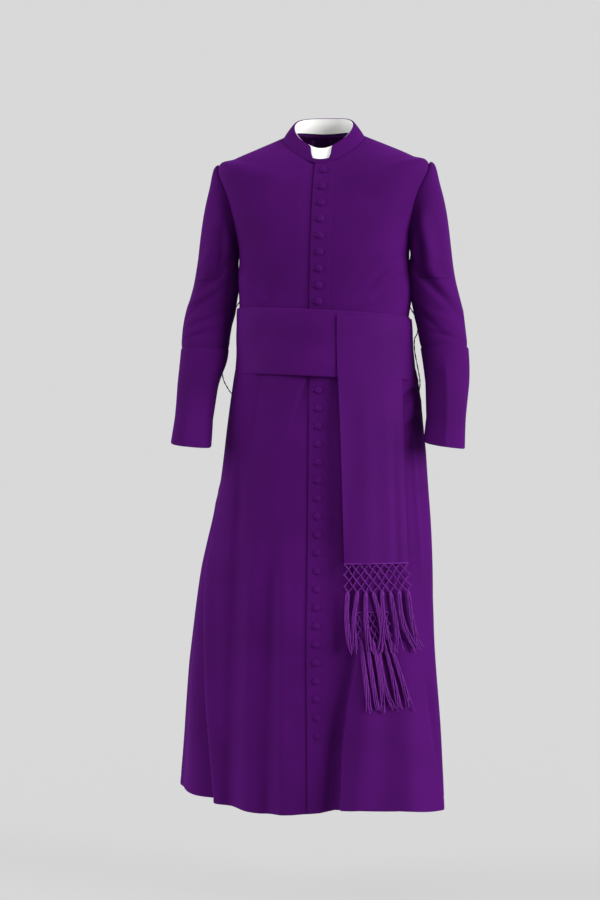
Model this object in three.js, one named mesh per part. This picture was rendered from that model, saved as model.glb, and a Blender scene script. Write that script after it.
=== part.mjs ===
// A buttoned, full-length cassock with a standing collar, worn with a fringed band cincture.
// Millimetres, +Z up. The front faces -Y and the wearer's left is +X.
// The origin is the middle of the neck opening, level with the neck points of the shoulder seams.
import * as THREE from 'three';
import { mergeVertices } from 'three/addons/utils/BufferGeometryUtils.js';

// ---- Driving dimensions ----
const CLOTH = 2.5; // outer cloth, interlining and lining together
const SEAM_GAP = 0.25; // half the gap that two panels keep at a seam
const LAYER_GAP = 0.5; // gap between two layers lying on each other
const WAIST_Z = -438;
const HEM_Z = -1390;

const PLACKET_REACH = 19; // how far the left front passes the button line
const UNDERLAP_REACH = 20; // how far the right front runs on beneath it
const SUNK_DEPTH = CLOTH + LAYER_GAP;

const BUTTON_RADIUS = 7.4;
const BUTTON_HEIGHT = 5.4;
const BUTTON_STANDOFF = 1.1;
const FIRST_BUTTON_Z = -83;
const BUTTON_ROWS = [
  { count: 9, pitch: 33.7 }, // neck to cincture
  { count: 4, pitch: 36.0 }, // beneath the cincture
  { count: 20, pitch: 36.6 }, // cincture to knee
];

const COLLAR = { thickness: 3, front: 33, side: 27, back: 38, topWidth: 64, topFront: 60, topBack: 54 };
const COLLAR_GAP = 0.9; // between the neck seam of the bodice and the stand
const NOTCH_HALF = 24; // half the width of the opening that shows the white tab
const NOTCH_SILL = 0.24; // share of the collar's height left below that opening
const TAB_HALF_ANGLE = 30;
const LINING_HALF_ANGLE = 38; // the lining starts this far round from the front

const PAD_REACH = 0.3; // a shoulder pad's half-angle ahead of and behind the shoulder seam
const PAD_DEPTH = 11; // how far beneath the cloth's face it lies

const ARMHOLE_HALF = 54; // half the armhole's width, front to back
const SLEEVE_TOP_Z = -245;
const ELBOW_TOP_Z = -362;
const ELBOW_BASE_Z = -442;
const CUFF_BASE_Z = -650;
const WRIST_DRIFT = { left: -13, right: 5 }; // how far outwards each arm drifts down to the wrist

const BAND = { top: -368, height: 138, inner: 4.2, overButtons: 7.6, thickness: 2.5, tilt: 0.056 };
const WRAP_LIFT = 3.2; // the band's outer wrap, which turns down into the front fall
const WRAP_EDGE_X = 36; // where that wrap's free edge lies, left of the buttons
const FALL_THICK = 1.5;
const FRINGE_GAP = 1;
const FRONT_FALL = { lift: 8.2, top: -514.5, base: -885, tip: -1070 };
const BACK_FALL = { lift: 4.2, top: -514.5, base: -982, tip: -1187 };

// ---- Body form: one section per station, neck to hem ----
// side, front and back are the section's heights there, and a, f and b its half-width and its
// depths ahead of and behind the middle. n is the squareness, 2 for an ellipse, middle is how far
// across the section has moved, and stride is how far its left side goes ahead of its right.
const STATIONS = [
  { side: 0, front: -63, back: 12, a: 85, f: 72, b: 68, n: 2.1, middle: 0, stride: 0 },
  { side: -20, front: -78, back: -12, a: 138, f: 84, b: 86, n: 2.5, middle: 0, stride: 0 },
  { side: -40, front: -96, back: -42, a: 184, f: 97, b: 100, n: 2.9, middle: 0, stride: 0 },
  { side: -60, front: -124, back: -82, a: 214, f: 108, b: 110, n: 3.2, middle: 0, stride: 0 },
  { side: -145, front: -180, back: -155, a: 196, f: 118, b: 118, n: 3.1, middle: 0, stride: 0 },
  { side: -236, front: -240, back: -237, a: 178, f: 123, b: 119, n: 2.8, middle: 0, stride: 0 },
  { side: -310, front: -310, back: -310, a: 179, f: 120, b: 113, n: 2.6, middle: 0, stride: 0 },
  { side: -370, front: -370, back: -370, a: 177, f: 116, b: 107, n: 2.4, middle: 0, stride: 0 },
  { side: -438, front: -438, back: -438, a: 178, f: 115, b: 106, n: 2.3, middle: 0, stride: 0 },
  { side: -510, front: -510, back: -510, a: 190, f: 121, b: 114, n: 2.2, middle: 0, stride: 0 },
  { side: -600, front: -600, back: -600, a: 201, f: 131, b: 128, n: 2.15, middle: -2, stride: 0 },
  { side: -770, front: -770, back: -770, a: 219, f: 148, b: 149, n: 2.1, middle: -5, stride: 0 },
  { side: -920, front: -920, back: -920, a: 243, f: 163, b: 168, n: 2.1, middle: -18, stride: 0.04 },
  { side: -1070, front: -1070, back: -1070, a: 255, f: 178, b: 184, n: 2.1, middle: -23, stride: 0.11 },
  { side: -1230, front: -1230, back: -1230, a: 269, f: 192, b: 200, n: 2.1, middle: -25, stride: 0.19 },
  { side: HEM_Z, front: HEM_Z, back: HEM_Z, a: 281, f: 204, b: 214, n: 2.1, middle: -25, stride: 0.27 },
];
// The hem is lifted as the skirt swings: degrees round from the front, and how far it rises there.
const HEM_RAISE = [
  [-180, 8], [-125, 14], [-90, 17], [-65, 11], [-45, 7], [-25, 1], [-6, 4], [8, 10], [16, 18], [32, 20],
  [52, 18], [70, 10], [90, 3], [135, 4], [180, 8],
];
const RAISE_TOP_Z = -1070;
// The front opening leans a little to the wearer's left above the cincture.
const LEAN_BASE_Z = -340;
const LEAN_AT_NECK = 7;
const NECK = 0;
const SHOULDER_TIP = 3;
const ARMPIT = 5;
const WAIST = 8;
const HEM = STATIONS.length - 1;
const RIGHT_ANGLE = Math.PI / 2;

// One field of the section at a fractional station, on a Catmull-Rom curve.
function field(name, station) {
  const low = Math.min(Math.floor(station), HEM - 1);
  const t = station - low;
  const at = (index) => STATIONS[Math.min(Math.max(index, 0), HEM)][name];
  const [p0, p1, p2, p3] = [at(low - 1), at(low), at(low + 1), at(low + 2)];
  const bend = 2 * p0 - 5 * p1 + 4 * p2 - p3;
  const twist = 3 * (p1 - p2) + p3 - p0;
  return p1 + 0.5 * t * (p2 - p0 + t * (bend + t * twist));
}

// A height that is given at the front, the sides and the back, at an angle between them.
function around(angle, front, side, back) {
  const mean = (front + back) / 2;
  const swing = (front - back) / 2;
  return (mean + side) / 2 + swing * Math.cos(angle) + ((mean - side) / 2) * Math.cos(2 * angle);
}

// The radius of a squared ellipse. Angle 0 is the front, and a positive angle turns to +X.
function radius(angle, a, f, b, n) {
  const depth = Math.cos(angle) > 0 ? f : b;
  return (Math.abs(Math.sin(angle) / a) ** n + Math.abs(Math.cos(angle) / depth) ** n) ** (-1 / n);
}

function hemRaise(angle, z) {
  if (z > RAISE_TOP_Z) return 0;
  const degrees = THREE.MathUtils.radToDeg(Math.atan2(Math.sin(angle), Math.cos(angle)));
  const next = Math.max(1, HEM_RAISE.findIndex(([reach]) => reach >= degrees));
  const [[from, low], [to, high]] = [HEM_RAISE[next - 1], HEM_RAISE[next]];
  const raise = low + ((high - low) * (degrees - from)) / (to - from);
  return raise * ((RAISE_TOP_Z - z) / (RAISE_TOP_Z - HEM_Z)) ** 2;
}

function bodyPoint(angle, station) {
  const [a, f, b, n] = ['a', 'f', 'b', 'n'].map((name) => field(name, station));
  const r = radius(angle, a, f, b, n);
  const heights = ['front', 'side', 'back'].map((name) => field(name, station));
  const out = r * Math.sin(angle);
  const ahead = r * Math.cos(angle) + field('stride', station) * out;
  const z = around(angle, ...heights);
  return new THREE.Vector3(field('middle', station) + out, -ahead, z + hemRaise(angle, z));
}

// A point moved off the body form along its outward normal.
function offBody(angle, station, lift) {
  const step = 0.01;
  const across = bodyPoint(angle + step, station).sub(bodyPoint(angle - step, station));
  const lower = bodyPoint(angle, Math.min(station + step, HEM));
  const down = lower.sub(bodyPoint(angle, Math.max(station - step, NECK)));
  return bodyPoint(angle, station).addScaledVector(down.cross(across).normalize(), lift);
}

// The station whose surface is at a height, at an angle.
function stationAt(z, angle = 0) {
  let [low, high] = [NECK, HEM];
  for (let i = 0; i < 40; i += 1) {
    const middle = (low + high) / 2;
    if (bodyPoint(angle, middle).z > z) low = middle;
    else high = middle;
  }
  return low;
}

// The angle on the front at a distance across, and on a side at a distance ahead or behind.
function angleAtX(x, station) {
  const [a, f, n] = [field('a', station), field('f', station), field('n', station)];
  const out = x - field('middle', station);
  return Math.atan2(out, f * (1 - Math.min(Math.abs(out) / a, 0.999) ** n) ** (1 / n));
}

function sideAngle(y, station) {
  const [a, n] = [field('a', station), field('n', station)];
  const depth = field(y < 0 ? 'f' : 'b', station);
  return Math.atan2(a * (1 - (Math.abs(y) / depth) ** n) ** (1 / n), -y);
}

// ---- Closed shells bent over a form ----
function finish(geometry, place) {
  const position = geometry.attributes.position;
  for (let i = 0; i < position.count; i += 1) {
    const point = place(position.getX(i), position.getY(i), position.getZ(i));
    position.setXYZ(i, point.x, point.y, point.z);
  }
  geometry.deleteAttribute('normal');
  geometry.deleteAttribute('uv');
  const merged = mergeVertices(geometry, 1e-3);
  if (signedVolume(merged) < 0) {
    const index = merged.index.array;
    for (let i = 0; i < index.length; i += 3) [index[i + 1], index[i + 2]] = [index[i + 2], index[i + 1]];
  }
  merged.computeVertexNormals();
  return merged;
}

function signedVolume(geometry) {
  const { index } = geometry;
  const corner = (i) => new THREE.Vector3().fromBufferAttribute(geometry.attributes.position, index.getX(i));
  let sum = 0;
  for (let i = 0; i < index.count; i += 3) sum += corner(i).dot(corner(i + 1).cross(corner(i + 2))) / 6;
  return sum;
}

// An open panel of columns by rows. place(column, row, isInner) gives each corner.
function panel(columns, rows, place) {
  const geometry = new THREE.BoxGeometry(1, 1, 1, columns - 1, rows - 1, 1);
  return finish(geometry, (x, y, z) =>
    place(Math.round((x + 0.5) * (columns - 1)), Math.round((0.5 - y) * (rows - 1)), z < 0));
}

// A closed ring of columns, open at both ends. place(column, row, isInner) gives each corner.
function ring(columns, rows, place) {
  const outline = [];
  for (let row = 0; row < rows; row += 1) outline.push(new THREE.Vector2(2, row));
  for (let row = rows - 1; row >= 0; row -= 1) outline.push(new THREE.Vector2(1, row));
  outline.push(outline[0].clone());
  const geometry = new THREE.LatheGeometry(outline, columns);
  return finish(geometry, (x, y, z) => {
    const turn = Math.atan2(x, z) / (2 * Math.PI);
    const column = Math.round((turn + 1) * columns) % columns;
    return place(column, Math.round(y), Math.hypot(x, z) < 1.5);
  });
}

const mix = THREE.MathUtils.lerp;
const group = new THREE.Group();

const purple = { color: 0x4e1668, roughness: 0.86, metalness: 0 };
const silk = { color: 0x5a1a78, roughness: 0.5, metalness: 0 };
const white = { color: 0xf2f2ee, roughness: 0.6, metalness: 0 };
const wadding = { color: 0xd8d2c8, roughness: 0.95, metalness: 0 };

function add(name, geometry, finishOf) {
  const mesh = new THREE.Mesh(geometry, new THREE.MeshStandardMaterial(finishOf));
  mesh.name = name;
  group.add(mesh);
  return mesh;
}

// ---- Bodice and skirt panels ----
const ARMHOLE_STEPS = 8;
const armholeStation = (step) => (SHOULDER_TIP + ARMPIT) / 2 - Math.cos((step * Math.PI) / ARMHOLE_STEPS);
const bodiceRows = [NECK, 1, 2];
for (let step = 0; step <= ARMHOLE_STEPS; step += 1) bodiceRows.push(armholeStation(step));
bodiceRows.push(5.5, 6, 6.5, 7, stationAt(WAIST_Z + SEAM_GAP));
const skirtRows = [stationAt(WAIST_Z - SEAM_GAP), 8.5, 9, 9.5, 10, 10.5, 11, 12, 13, 14, HEM];

// How far a panel's side edge stands from the middle of the side: a seam, or the armhole.
function edgeReach(station) {
  const level = station - (SHOULDER_TIP + ARMPIT) / 2;
  return Math.max(SEAM_GAP, ARMHOLE_HALF * Math.sqrt(Math.max(0, 1 - level * level)));
}

const frontEdge = (station) => sideAngle(-edgeReach(station), station);
const backEdge = (station) => sideAngle(edgeReach(station), station);

function spread(start, end, count) {
  return Array.from({ length: count }, (_, k) => {
    const share = k / (count - 1);
    return (station) => mix(start(station), end(station), share);
  });
}

function clothPanel(columns, rows, lifts = []) {
  return panel(columns.length, rows.length, (column, row, isInner) => {
    const station = rows[row];
    const lift = (lifts[column] ?? 0) - (isInner ? CLOTH : 0);
    return offBody(columns[column](station), station, lift);
  });
}

function lean(z) {
  const share = (z - LEAN_BASE_Z) / (FIRST_BUTTON_Z - LEAN_BASE_Z);
  return LEAN_AT_NECK * THREE.MathUtils.clamp(share, 0, 1.1);
}
const acrossAt = (x) => (station) => angleAtX(x + lean(field('front', station)), station);
const rightEdge = (station) => -frontEdge(station);

for (const [name, rows] of [['bodice', bodiceRows], ['skirt', skirtRows]]) {
  const lapped = [acrossAt(-PLACKET_REACH), acrossAt(0)];
  const leftColumns = [...lapped, ...spread(acrossAt(UNDERLAP_REACH + 1), frontEdge, 8)];
  add(`${name}_front_left`, clothPanel(leftColumns, rows), purple);
  const beneath = [acrossAt(UNDERLAP_REACH), acrossAt(0), acrossAt(-PLACKET_REACH - 1.5)];
  const rightColumns = [...beneath, ...spread(acrossAt(-PLACKET_REACH - 13), rightEdge, 8)];
  add(`${name}_front_right`, clothPanel(rightColumns, rows, beneath.map(() => -SUNK_DEPTH)), purple);
  const backRight = (station) => 2 * Math.PI - backEdge(station);
  add(`${name}_back`, clothPanel(spread(backEdge, backRight, 17), rows), purple);
}

// ---- Collar: stand with a front notch, white lining and white tab ----
// level runs from 0 at the neck seam to 1 at the collar's top edge.
function collarPoint(angle, level, lift) {
  const base = bodyPoint(angle, NECK);
  const top = radius(angle, COLLAR.topWidth, COLLAR.topFront, COLLAR.topBack, 2.1);
  const r = mix(Math.hypot(base.x, base.y), top, level) + lift;
  const rise = around(angle, COLLAR.front, COLLAR.side, COLLAR.back);
  return new THREE.Vector3(r * Math.sin(angle), -r * Math.cos(angle), base.z + COLLAR_GAP + level * rise);
}

const notchAngle = Math.asin(NOTCH_HALF / ((COLLAR.topFront + STATIONS[NECK].f) / 2));
const collarAngles = [-notchAngle, 0, notchAngle];
const COLLAR_SPACES = 22;
for (let k = 0; k <= COLLAR_SPACES; k += 1) {
  collarAngles.push(mix(notchAngle + 0.02, 2 * Math.PI - notchAngle - 0.02, k / COLLAR_SPACES));
}
add('collar_stand', ring(collarAngles.length, 3, (column, row, isInner) => {
  const top = column < 3 ? NOTCH_SILL : 1;
  return collarPoint(collarAngles[column], (top * row) / 2, isInner ? -COLLAR.thickness : 0);
}), purple);

const INLAY_THICK = 1;
const INLAY_BASE = 0.06; // share of the collar's height below the lining and the tab
function collarInlay(startAngle, endAngle, columns, depth, topLevel) {
  return panel(columns, 2, (column, row, isInner) => {
    const angle = mix(startAngle, endAngle, column / (columns - 1));
    const level = row ? INLAY_BASE : topLevel;
    return collarPoint(angle, level, -COLLAR.thickness - depth - (isInner ? INLAY_THICK : 0));
  });
}
const tabAngle = THREE.MathUtils.degToRad(TAB_HALF_ANGLE);
const liningAngle = THREE.MathUtils.degToRad(LINING_HALF_ANGLE);
add('collar_insert', collarInlay(-tabAngle, tabAngle, 9, 3.6, 0.98), white);
add('collar_lining', collarInlay(liningAngle, 2 * Math.PI - liningAngle, 21, 1.5, 0.94), white);

// ---- Hanger loop inside the back neck ----
const LOOP_HALF = 28;
const LOOP_DROP = 24;
const loopY = STATIONS[NECK].b - 12;
const loopTurn = (x, z) => new THREE.Vector3(x, loopY, z);
const loopPath = new THREE.CatmullRomCurve3([
  loopTurn(-LOOP_HALF, 4), loopTurn(-LOOP_HALF, -8), loopTurn(-LOOP_HALF * 0.7, -LOOP_DROP * 0.85),
  loopTurn(0, -LOOP_DROP),
  loopTurn(LOOP_HALF * 0.7, -LOOP_DROP * 0.85), loopTurn(LOOP_HALF, -8), loopTurn(LOOP_HALF, 4),
]);

function roundSection(r, sides) {
  return new THREE.Shape(Array.from({ length: sides }, (_, k) => {
    const turn = (2 * Math.PI * k) / sides;
    return new THREE.Vector2(r * Math.cos(turn), r * Math.sin(turn));
  }));
}

function cordAlong(path, r, sides, steps) {
  const options = { steps, extrudePath: path, bevelEnabled: false };
  const geometry = new THREE.ExtrudeGeometry(roundSection(r, sides), options);
  return finish(geometry, (x, y, z) => new THREE.Vector3(x, y, z));
}
add('hanger_loop', cordAlong(loopPath, 2, 8, 16), purple);

// ---- Buttons down the left front ----
const buttonOutline = [
  new THREE.Vector2(0, 0), new THREE.Vector2(BUTTON_RADIUS * 0.8, 0),
  new THREE.Vector2(BUTTON_RADIUS, BUTTON_HEIGHT * 0.3),
  new THREE.Vector2(BUTTON_RADIUS * 0.72, BUTTON_HEIGHT * 0.82), new THREE.Vector2(0, BUTTON_HEIGHT),
];
let buttonZ = FIRST_BUTTON_Z;
let buttonNumber = 0;
for (const { count, pitch } of BUTTON_ROWS) {
  for (let k = 0; k < count; k += 1) {
    buttonZ -= buttonNumber > 0 ? pitch : 0;
    buttonNumber += 1;
    const station = stationAt(buttonZ);
    const angle = acrossAt(0)(station);
    const dome = finish(new THREE.LatheGeometry(buttonOutline, 8), (x, y, z) => new THREE.Vector3(x, y, z));
    const button = add(`button_${String(buttonNumber).padStart(2, '0')}`, dome, silk);
    const seat = offBody(angle, station, BUTTON_STANDOFF);
    button.position.copy(seat);
    const outward = offBody(angle, station, BUTTON_STANDOFF + 1).sub(seat);
    button.quaternion.setFromUnitVectors(new THREE.Vector3(0, 1, 0), outward.normalize());
  }
}

// ---- Shoulder pads, sleeves and cuffs ----
// Arm stations: height, middle across and ahead, half-width and half-depth.
const ARM = [
  { z: SLEEVE_TOP_Z, x: 222, y: 4, w: 40, d: 60 },
  { z: -310, x: 234, y: 8, w: 42, d: 58 },
  { z: -365, x: 246, y: 8, w: 43.5, d: 56 },
  { z: ELBOW_BASE_Z, x: 252, y: -3, w: 45.5, d: 57 },
  { z: -517, x: 261, y: -22, w: 42, d: 54 },
  { z: -592, x: 266, y: -44, w: 39, d: 52 },
  { z: CUFF_BASE_Z, x: 267, y: -62, w: 41, d: 53 },
];
const SLEEVE_COLUMNS = 2 * ARMHOLE_STEPS;

function armField(name, z) {
  let k = 0;
  while (k < ARM.length - 2 && z < ARM[k + 1].z) k += 1;
  return mix(ARM[k][name], ARM[k + 1][name], (z - ARM[k].z) / (ARM[k + 1].z - ARM[k].z));
}

// A point on the sleeve. Turn 0 is the outer side, and it goes by the front to the inner side.
function sleevePoint(sign, turn, z, lift) {
  const [x, y, w, d] = ['x', 'y', 'w', 'd'].map((name) => armField(name, z));
  const drop = (SLEEVE_TOP_Z - z) / (SLEEVE_TOP_Z - CUFF_BASE_Z);
  const out = Math.cos(turn);
  const ahead = Math.sin(turn);
  const r = (Math.abs(out / w) ** 2.3 + Math.abs(ahead / d) ** 2.3) ** (-1 / 2.3) + lift;
  const spreadOut = (sign > 0 ? WRIST_DRIFT.left : WRIST_DRIFT.right) * drop * drop;
  return new THREE.Vector3(sign * (x + spreadOut + r * out), y - r * ahead, z);
}

function sleeveTube(sign, topZ, baseZ, rows) {
  return ring(SLEEVE_COLUMNS, rows, (column, row, isInner) => {
    const turn = (2 * Math.PI * column) / SLEEVE_COLUMNS;
    return sleevePoint(sign, turn, mix(topZ, baseZ, row / (rows - 1)), isInner ? -CLOTH : 0);
  });
}

// The sleeve's cap, from the armhole seam to the level of the armpit.
function sleeveHead(sign, rows) {
  const middle = new THREE.Vector3(sign * 200, 0, -150);
  return ring(SLEEVE_COLUMNS, rows, (column, row, isInner) => {
    const isFront = column <= ARMHOLE_STEPS;
    const station = armholeStation(isFront ? column : SLEEVE_COLUMNS - column);
    const angle = isFront ? frontEdge(station) : backEdge(station);
    const seam = offBody(sign * angle, station, 1.2);
    if (isInner) seam.add(middle.clone().sub(seam).setX(0).setLength(CLOTH));
    const turn = (2 * Math.PI * column) / SLEEVE_COLUMNS;
    const base = sleevePoint(sign, turn, SLEEVE_TOP_Z + LAYER_GAP, isInner ? -CLOTH : 0);
    return seam.lerp(base, row / (rows - 1));
  });
}

function shoulderPad(sign) {
  return panel(7, 4, (column, row, isInner) => {
    const station = mix(1.1, 2.8, row / 3);
    const angle = mix(RIGHT_ANGLE - PAD_REACH, RIGHT_ANGLE + PAD_REACH, column / 6);
    const taper = 1 - Math.abs(column - 3) / 3.6;
    const loft = 2 + 10 * taper * (row / 3);
    return offBody(sign * angle, station, -PAD_DEPTH - (isInner ? loft : 0));
  });
}

for (const [side, sign] of [['left', 1], ['right', -1]]) {
  add(`shoulder_pad_${side}`, shoulderPad(sign), wadding);
  add(`sleeve_head_${side}`, sleeveHead(sign, 4), purple);
  add(`sleeve_upper_${side}`, sleeveTube(sign, SLEEVE_TOP_Z, ELBOW_TOP_Z, 4), purple);
  add(`sleeve_elbow_${side}`, sleeveTube(sign, ELBOW_TOP_Z - LAYER_GAP, ELBOW_BASE_Z + LAYER_GAP, 3), purple);
  add(`cuff_${side}`, sleeveTube(sign, ELBOW_BASE_Z, CUFF_BASE_Z, 5), purple);
}

// ---- Cincture: band, thread loops, falls and fringes ----
add('cincture_band', ring(48, 3, (column, row, isInner) => {
  const angle = (2 * Math.PI * column) / 48;
  const x = bodyPoint(angle, WAIST).x;
  const z = BAND.top - BAND.tilt * x - BAND.height * (1 - row / 2);
  const isWrapped = angle < Math.PI && (Math.cos(angle) < 0 || x > WRAP_EDGE_X);
  const wrap = isWrapped ? WRAP_LIFT : 0;
  const turnedBack = Math.atan2(Math.sin(angle), Math.cos(angle));
  const inner = mix(BAND.inner, BAND.overButtons, Math.exp(-((turnedBack / 0.5) ** 2)));
  return offBody(angle, stationAt(z, angle), inner + (isInner ? 0 : BAND.thickness + wrap));
}), silk);

for (const [side, sign] of [['left', 1], ['right', -1]]) {
  const bandTop = BAND.top - sign * BAND.tilt * STATIONS[WAIST].a;
  const turn = (rise, lift) => offBody(sign * RIGHT_ANGLE, stationAt(bandTop + rise, RIGHT_ANGLE), lift);
  const path = new THREE.CatmullRomCurve3([
    turn(26, 2.5), turn(17, 7), turn(4, 12.5), turn(-32, 12.8), turn(-72, 12.8), turn(-112, 12.8),
    turn(-134, 13.5), turn(-154, 9), turn(-166, 2.5),
  ]);
  add(`belt_loop_${side}`, cordAlong(path, 1.3, 6, 40), silk);
}

// The falls' side edges across, from the band's top edge down.
const FALL_TOP_Z = -372;
function fallEdges(z, slantLeft, slantRight) {
  const drop = (FALL_TOP_Z - z) / (FALL_TOP_Z - FRONT_FALL.base);
  return [37 + slantLeft * drop, 155 + slantRight * drop];
}

// A stretch of a fall or of its fringe, lying at a lift over the skirt's front.
function fallStrip(fall, topZ, baseZ, rows, slants, fan = [0, 0]) {
  return panel(7, rows, (column, row, isInner) => {
    const z = mix(topZ, baseZ, row / (rows - 1));
    const [left, right] = fallEdges(z, ...slants);
    const share = row / (rows - 1);
    const x = mix(left + fan[0] * share, right + fan[1] * share, column / 6);
    const station = stationAt(z);
    return offBody(angleAtX(x, station), station, fall.lift + (isInner ? 0 : FALL_THICK));
  });
}
const frontSlants = [18, 21];
const backSlants = [36, -11]; // the under fall is gathered towards its foot
add('fall_front', fallStrip(FRONT_FALL, FRONT_FALL.top, FRONT_FALL.base, 8, frontSlants), silk);
add('fall_back', fallStrip(BACK_FALL, BACK_FALL.top, BACK_FALL.base, 9, backSlants), silk);
for (const [name, fall, slants, fan] of [
  ['front', FRONT_FALL, frontSlants, [-7, 30]],
  ['back', BACK_FALL, backSlants, [12, 56]],
]) {
  add(`fringe_${name}`, fallStrip(fall, fall.base - FRINGE_GAP, fall.tip, 5, slants, fan), silk);
}

export default group;
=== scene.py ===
"""A buttoned cassock with a standing collar and a fringed band cincture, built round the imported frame.
Metres, +Z up. The front faces -Y and the wearer's left is +X."""
import math

import bpy
import numpy as np
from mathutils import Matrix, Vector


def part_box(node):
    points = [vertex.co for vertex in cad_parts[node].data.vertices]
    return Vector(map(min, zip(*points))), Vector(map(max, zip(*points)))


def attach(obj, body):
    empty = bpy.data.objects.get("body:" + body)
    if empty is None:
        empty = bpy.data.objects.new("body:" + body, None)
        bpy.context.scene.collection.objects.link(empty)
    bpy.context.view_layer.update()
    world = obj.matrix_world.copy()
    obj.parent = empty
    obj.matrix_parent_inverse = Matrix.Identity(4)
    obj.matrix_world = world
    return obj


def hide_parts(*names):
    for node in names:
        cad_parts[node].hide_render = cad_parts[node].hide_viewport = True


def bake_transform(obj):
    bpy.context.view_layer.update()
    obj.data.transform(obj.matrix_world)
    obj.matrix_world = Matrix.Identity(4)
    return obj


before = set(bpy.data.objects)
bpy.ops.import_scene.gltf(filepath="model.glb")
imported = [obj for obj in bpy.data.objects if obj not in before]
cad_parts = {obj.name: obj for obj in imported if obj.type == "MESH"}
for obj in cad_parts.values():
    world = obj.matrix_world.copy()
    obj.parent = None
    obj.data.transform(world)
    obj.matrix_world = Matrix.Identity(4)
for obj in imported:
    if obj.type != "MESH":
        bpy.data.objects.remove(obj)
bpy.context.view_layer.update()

MM = 0.001

# ---- Camera ----
VIEW_AZIMUTH = math.radians(6.0)
VIEW_DISTANCE = 4.0
VIEW_HEIGHT = -0.655
VIEW_ACROSS = -0.050
LENS_MM = 76.2


def make_camera():
    right = np.array([math.cos(VIEW_AZIMUTH), math.sin(VIEW_AZIMUTH), 0.0])
    back = np.array([math.sin(VIEW_AZIMUTH), -math.cos(VIEW_AZIMUTH), 0.0])
    data = bpy.data.cameras.new("view_camera")
    data.lens = LENS_MM
    data.sensor_width = 36.0
    camera = bpy.data.objects.new("view_camera", data)
    camera.location = right * VIEW_ACROSS + back * VIEW_DISTANCE + np.array([0, 0, VIEW_HEIGHT])
    camera.rotation_euler = (math.pi / 2, 0, VIEW_AZIMUTH)
    bpy.context.collection.objects.link(camera)
    bpy.context.scene.camera = camera


make_camera()

# ---- Body form: the same sections that the CAD panels follow ----
# Heights at the side, front and back, half-width, depths ahead and behind, squareness,
# middle across, and stride, which turns the left side forward.
HEM_Z = -1390.0
SECTIONS = np.array([
    (0, -63, 12, 85, 72, 68, 2.1, 0, 0),
    (-20, -78, -12, 138, 84, 86, 2.5, 0, 0),
    (-40, -96, -42, 184, 97, 100, 2.9, 0, 0),
    (-60, -124, -82, 214, 108, 110, 3.2, 0, 0),
    (-145, -180, -155, 196, 118, 118, 3.1, 0, 0),
    (-236, -240, -237, 178, 123, 119, 2.8, 0, 0),
    (-310, -310, -310, 179, 120, 113, 2.6, 0, 0),
    (-370, -370, -370, 177, 116, 107, 2.4, 0, 0),
    (-438, -438, -438, 178, 115, 106, 2.3, 0, 0),
    (-510, -510, -510, 190, 121, 114, 2.2, 0, 0),
    (-600, -600, -600, 201, 131, 128, 2.15, -2, 0),
    (-770, -770, -770, 219, 148, 149, 2.1, -5, 0),
    (-920, -920, -920, 243, 163, 168, 2.1, -18, 0.04),
    (-1070, -1070, -1070, 255, 178, 184, 2.1, -23, 0.11),
    (-1230, -1230, -1230, 269, 192, 200, 2.1, -25, 0.19),
    (HEM_Z, HEM_Z, HEM_Z, 281, 204, 214, 2.1, -25, 0.27),
])
SECTIONS[:, [0, 1, 2, 3, 4, 5, 7]] *= MM
SIDE, FRONT, BACK, HALF, AHEAD, BEHIND, SQUARE, MIDDLE, STRIDE = range(9)
LAST = len(SECTIONS) - 1
# The hem is lifted as the skirt swings: degrees round from the front, and the rise there in mm.
HEM_RAISE = np.array([
    (-180, 8), (-125, 14), (-90, 17), (-65, 11), (-45, 7), (-25, 1), (-6, 4), (8, 10), (16, 18), (32, 20),
    (52, 18), (70, 10), (90, 3), (135, 4), (180, 8),
])
RAISE_TOP = -1.070
# The front opening leans a little to the wearer's left above the cincture.
LEAN_BASE, LEAN_TOP, LEAN_AT_NECK = -0.340, -0.083, 0.007
NECK, SHOULDER_TIP, ARMPIT, WAIST = 0.0, 3.0, 5.0, 8.0


def section(station):
    """All fields at fractional stations, on a Catmull-Rom curve: shape (..., 9)."""
    station = np.asarray(station, float)
    low = np.clip(np.floor(station), 0, LAST - 1).astype(int)
    t = (station - low)[..., None]
    p0, p1, p2, p3 = (SECTIONS[np.clip(low + k, 0, LAST)] for k in (-1, 0, 1, 2))
    bend = 2 * p0 - 5 * p1 + 4 * p2 - p3
    twist = 3 * (p1 - p2) + p3 - p0
    return p1 + 0.5 * t * (p2 - p0 + t * (bend + t * twist))


def around(angle, front, side, back):
    mean, swing = (front + back) / 2, (front - back) / 2
    return (mean + side) / 2 + swing * np.cos(angle) + (mean - side) / 2 * np.cos(2 * angle)


def squared_radius(angle, half, ahead, behind, square):
    depth = np.where(np.cos(angle) > 0, ahead, behind)
    return (np.abs(np.sin(angle) / half) ** square + np.abs(np.cos(angle) / depth) ** square) ** (-1 / square)


def hem_raise(angle, z):
    degrees = np.degrees(np.arctan2(np.sin(angle), np.cos(angle)))
    share = np.clip((RAISE_TOP - z) / (RAISE_TOP - HEM_Z * MM), 0, None)
    return np.interp(degrees, HEM_RAISE[:, 0], HEM_RAISE[:, 1]) * MM * share ** 2


def lean(z):
    return LEAN_AT_NECK * np.clip((z - LEAN_BASE) / (LEAN_TOP - LEAN_BASE), 0, 1.1)


def body(angle, station):
    angle, station = np.broadcast_arrays(np.asarray(angle, float), np.asarray(station, float))
    f = section(station)
    r = squared_radius(angle, f[..., HALF], f[..., AHEAD], f[..., BEHIND], f[..., SQUARE])
    out = r * np.sin(angle)
    ahead = r * np.cos(angle) + f[..., STRIDE] * out
    z = around(angle, f[..., FRONT], f[..., SIDE], f[..., BACK])
    return np.stack([f[..., MIDDLE] + out, -ahead, z + hem_raise(angle, z)], axis=-1)


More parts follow.
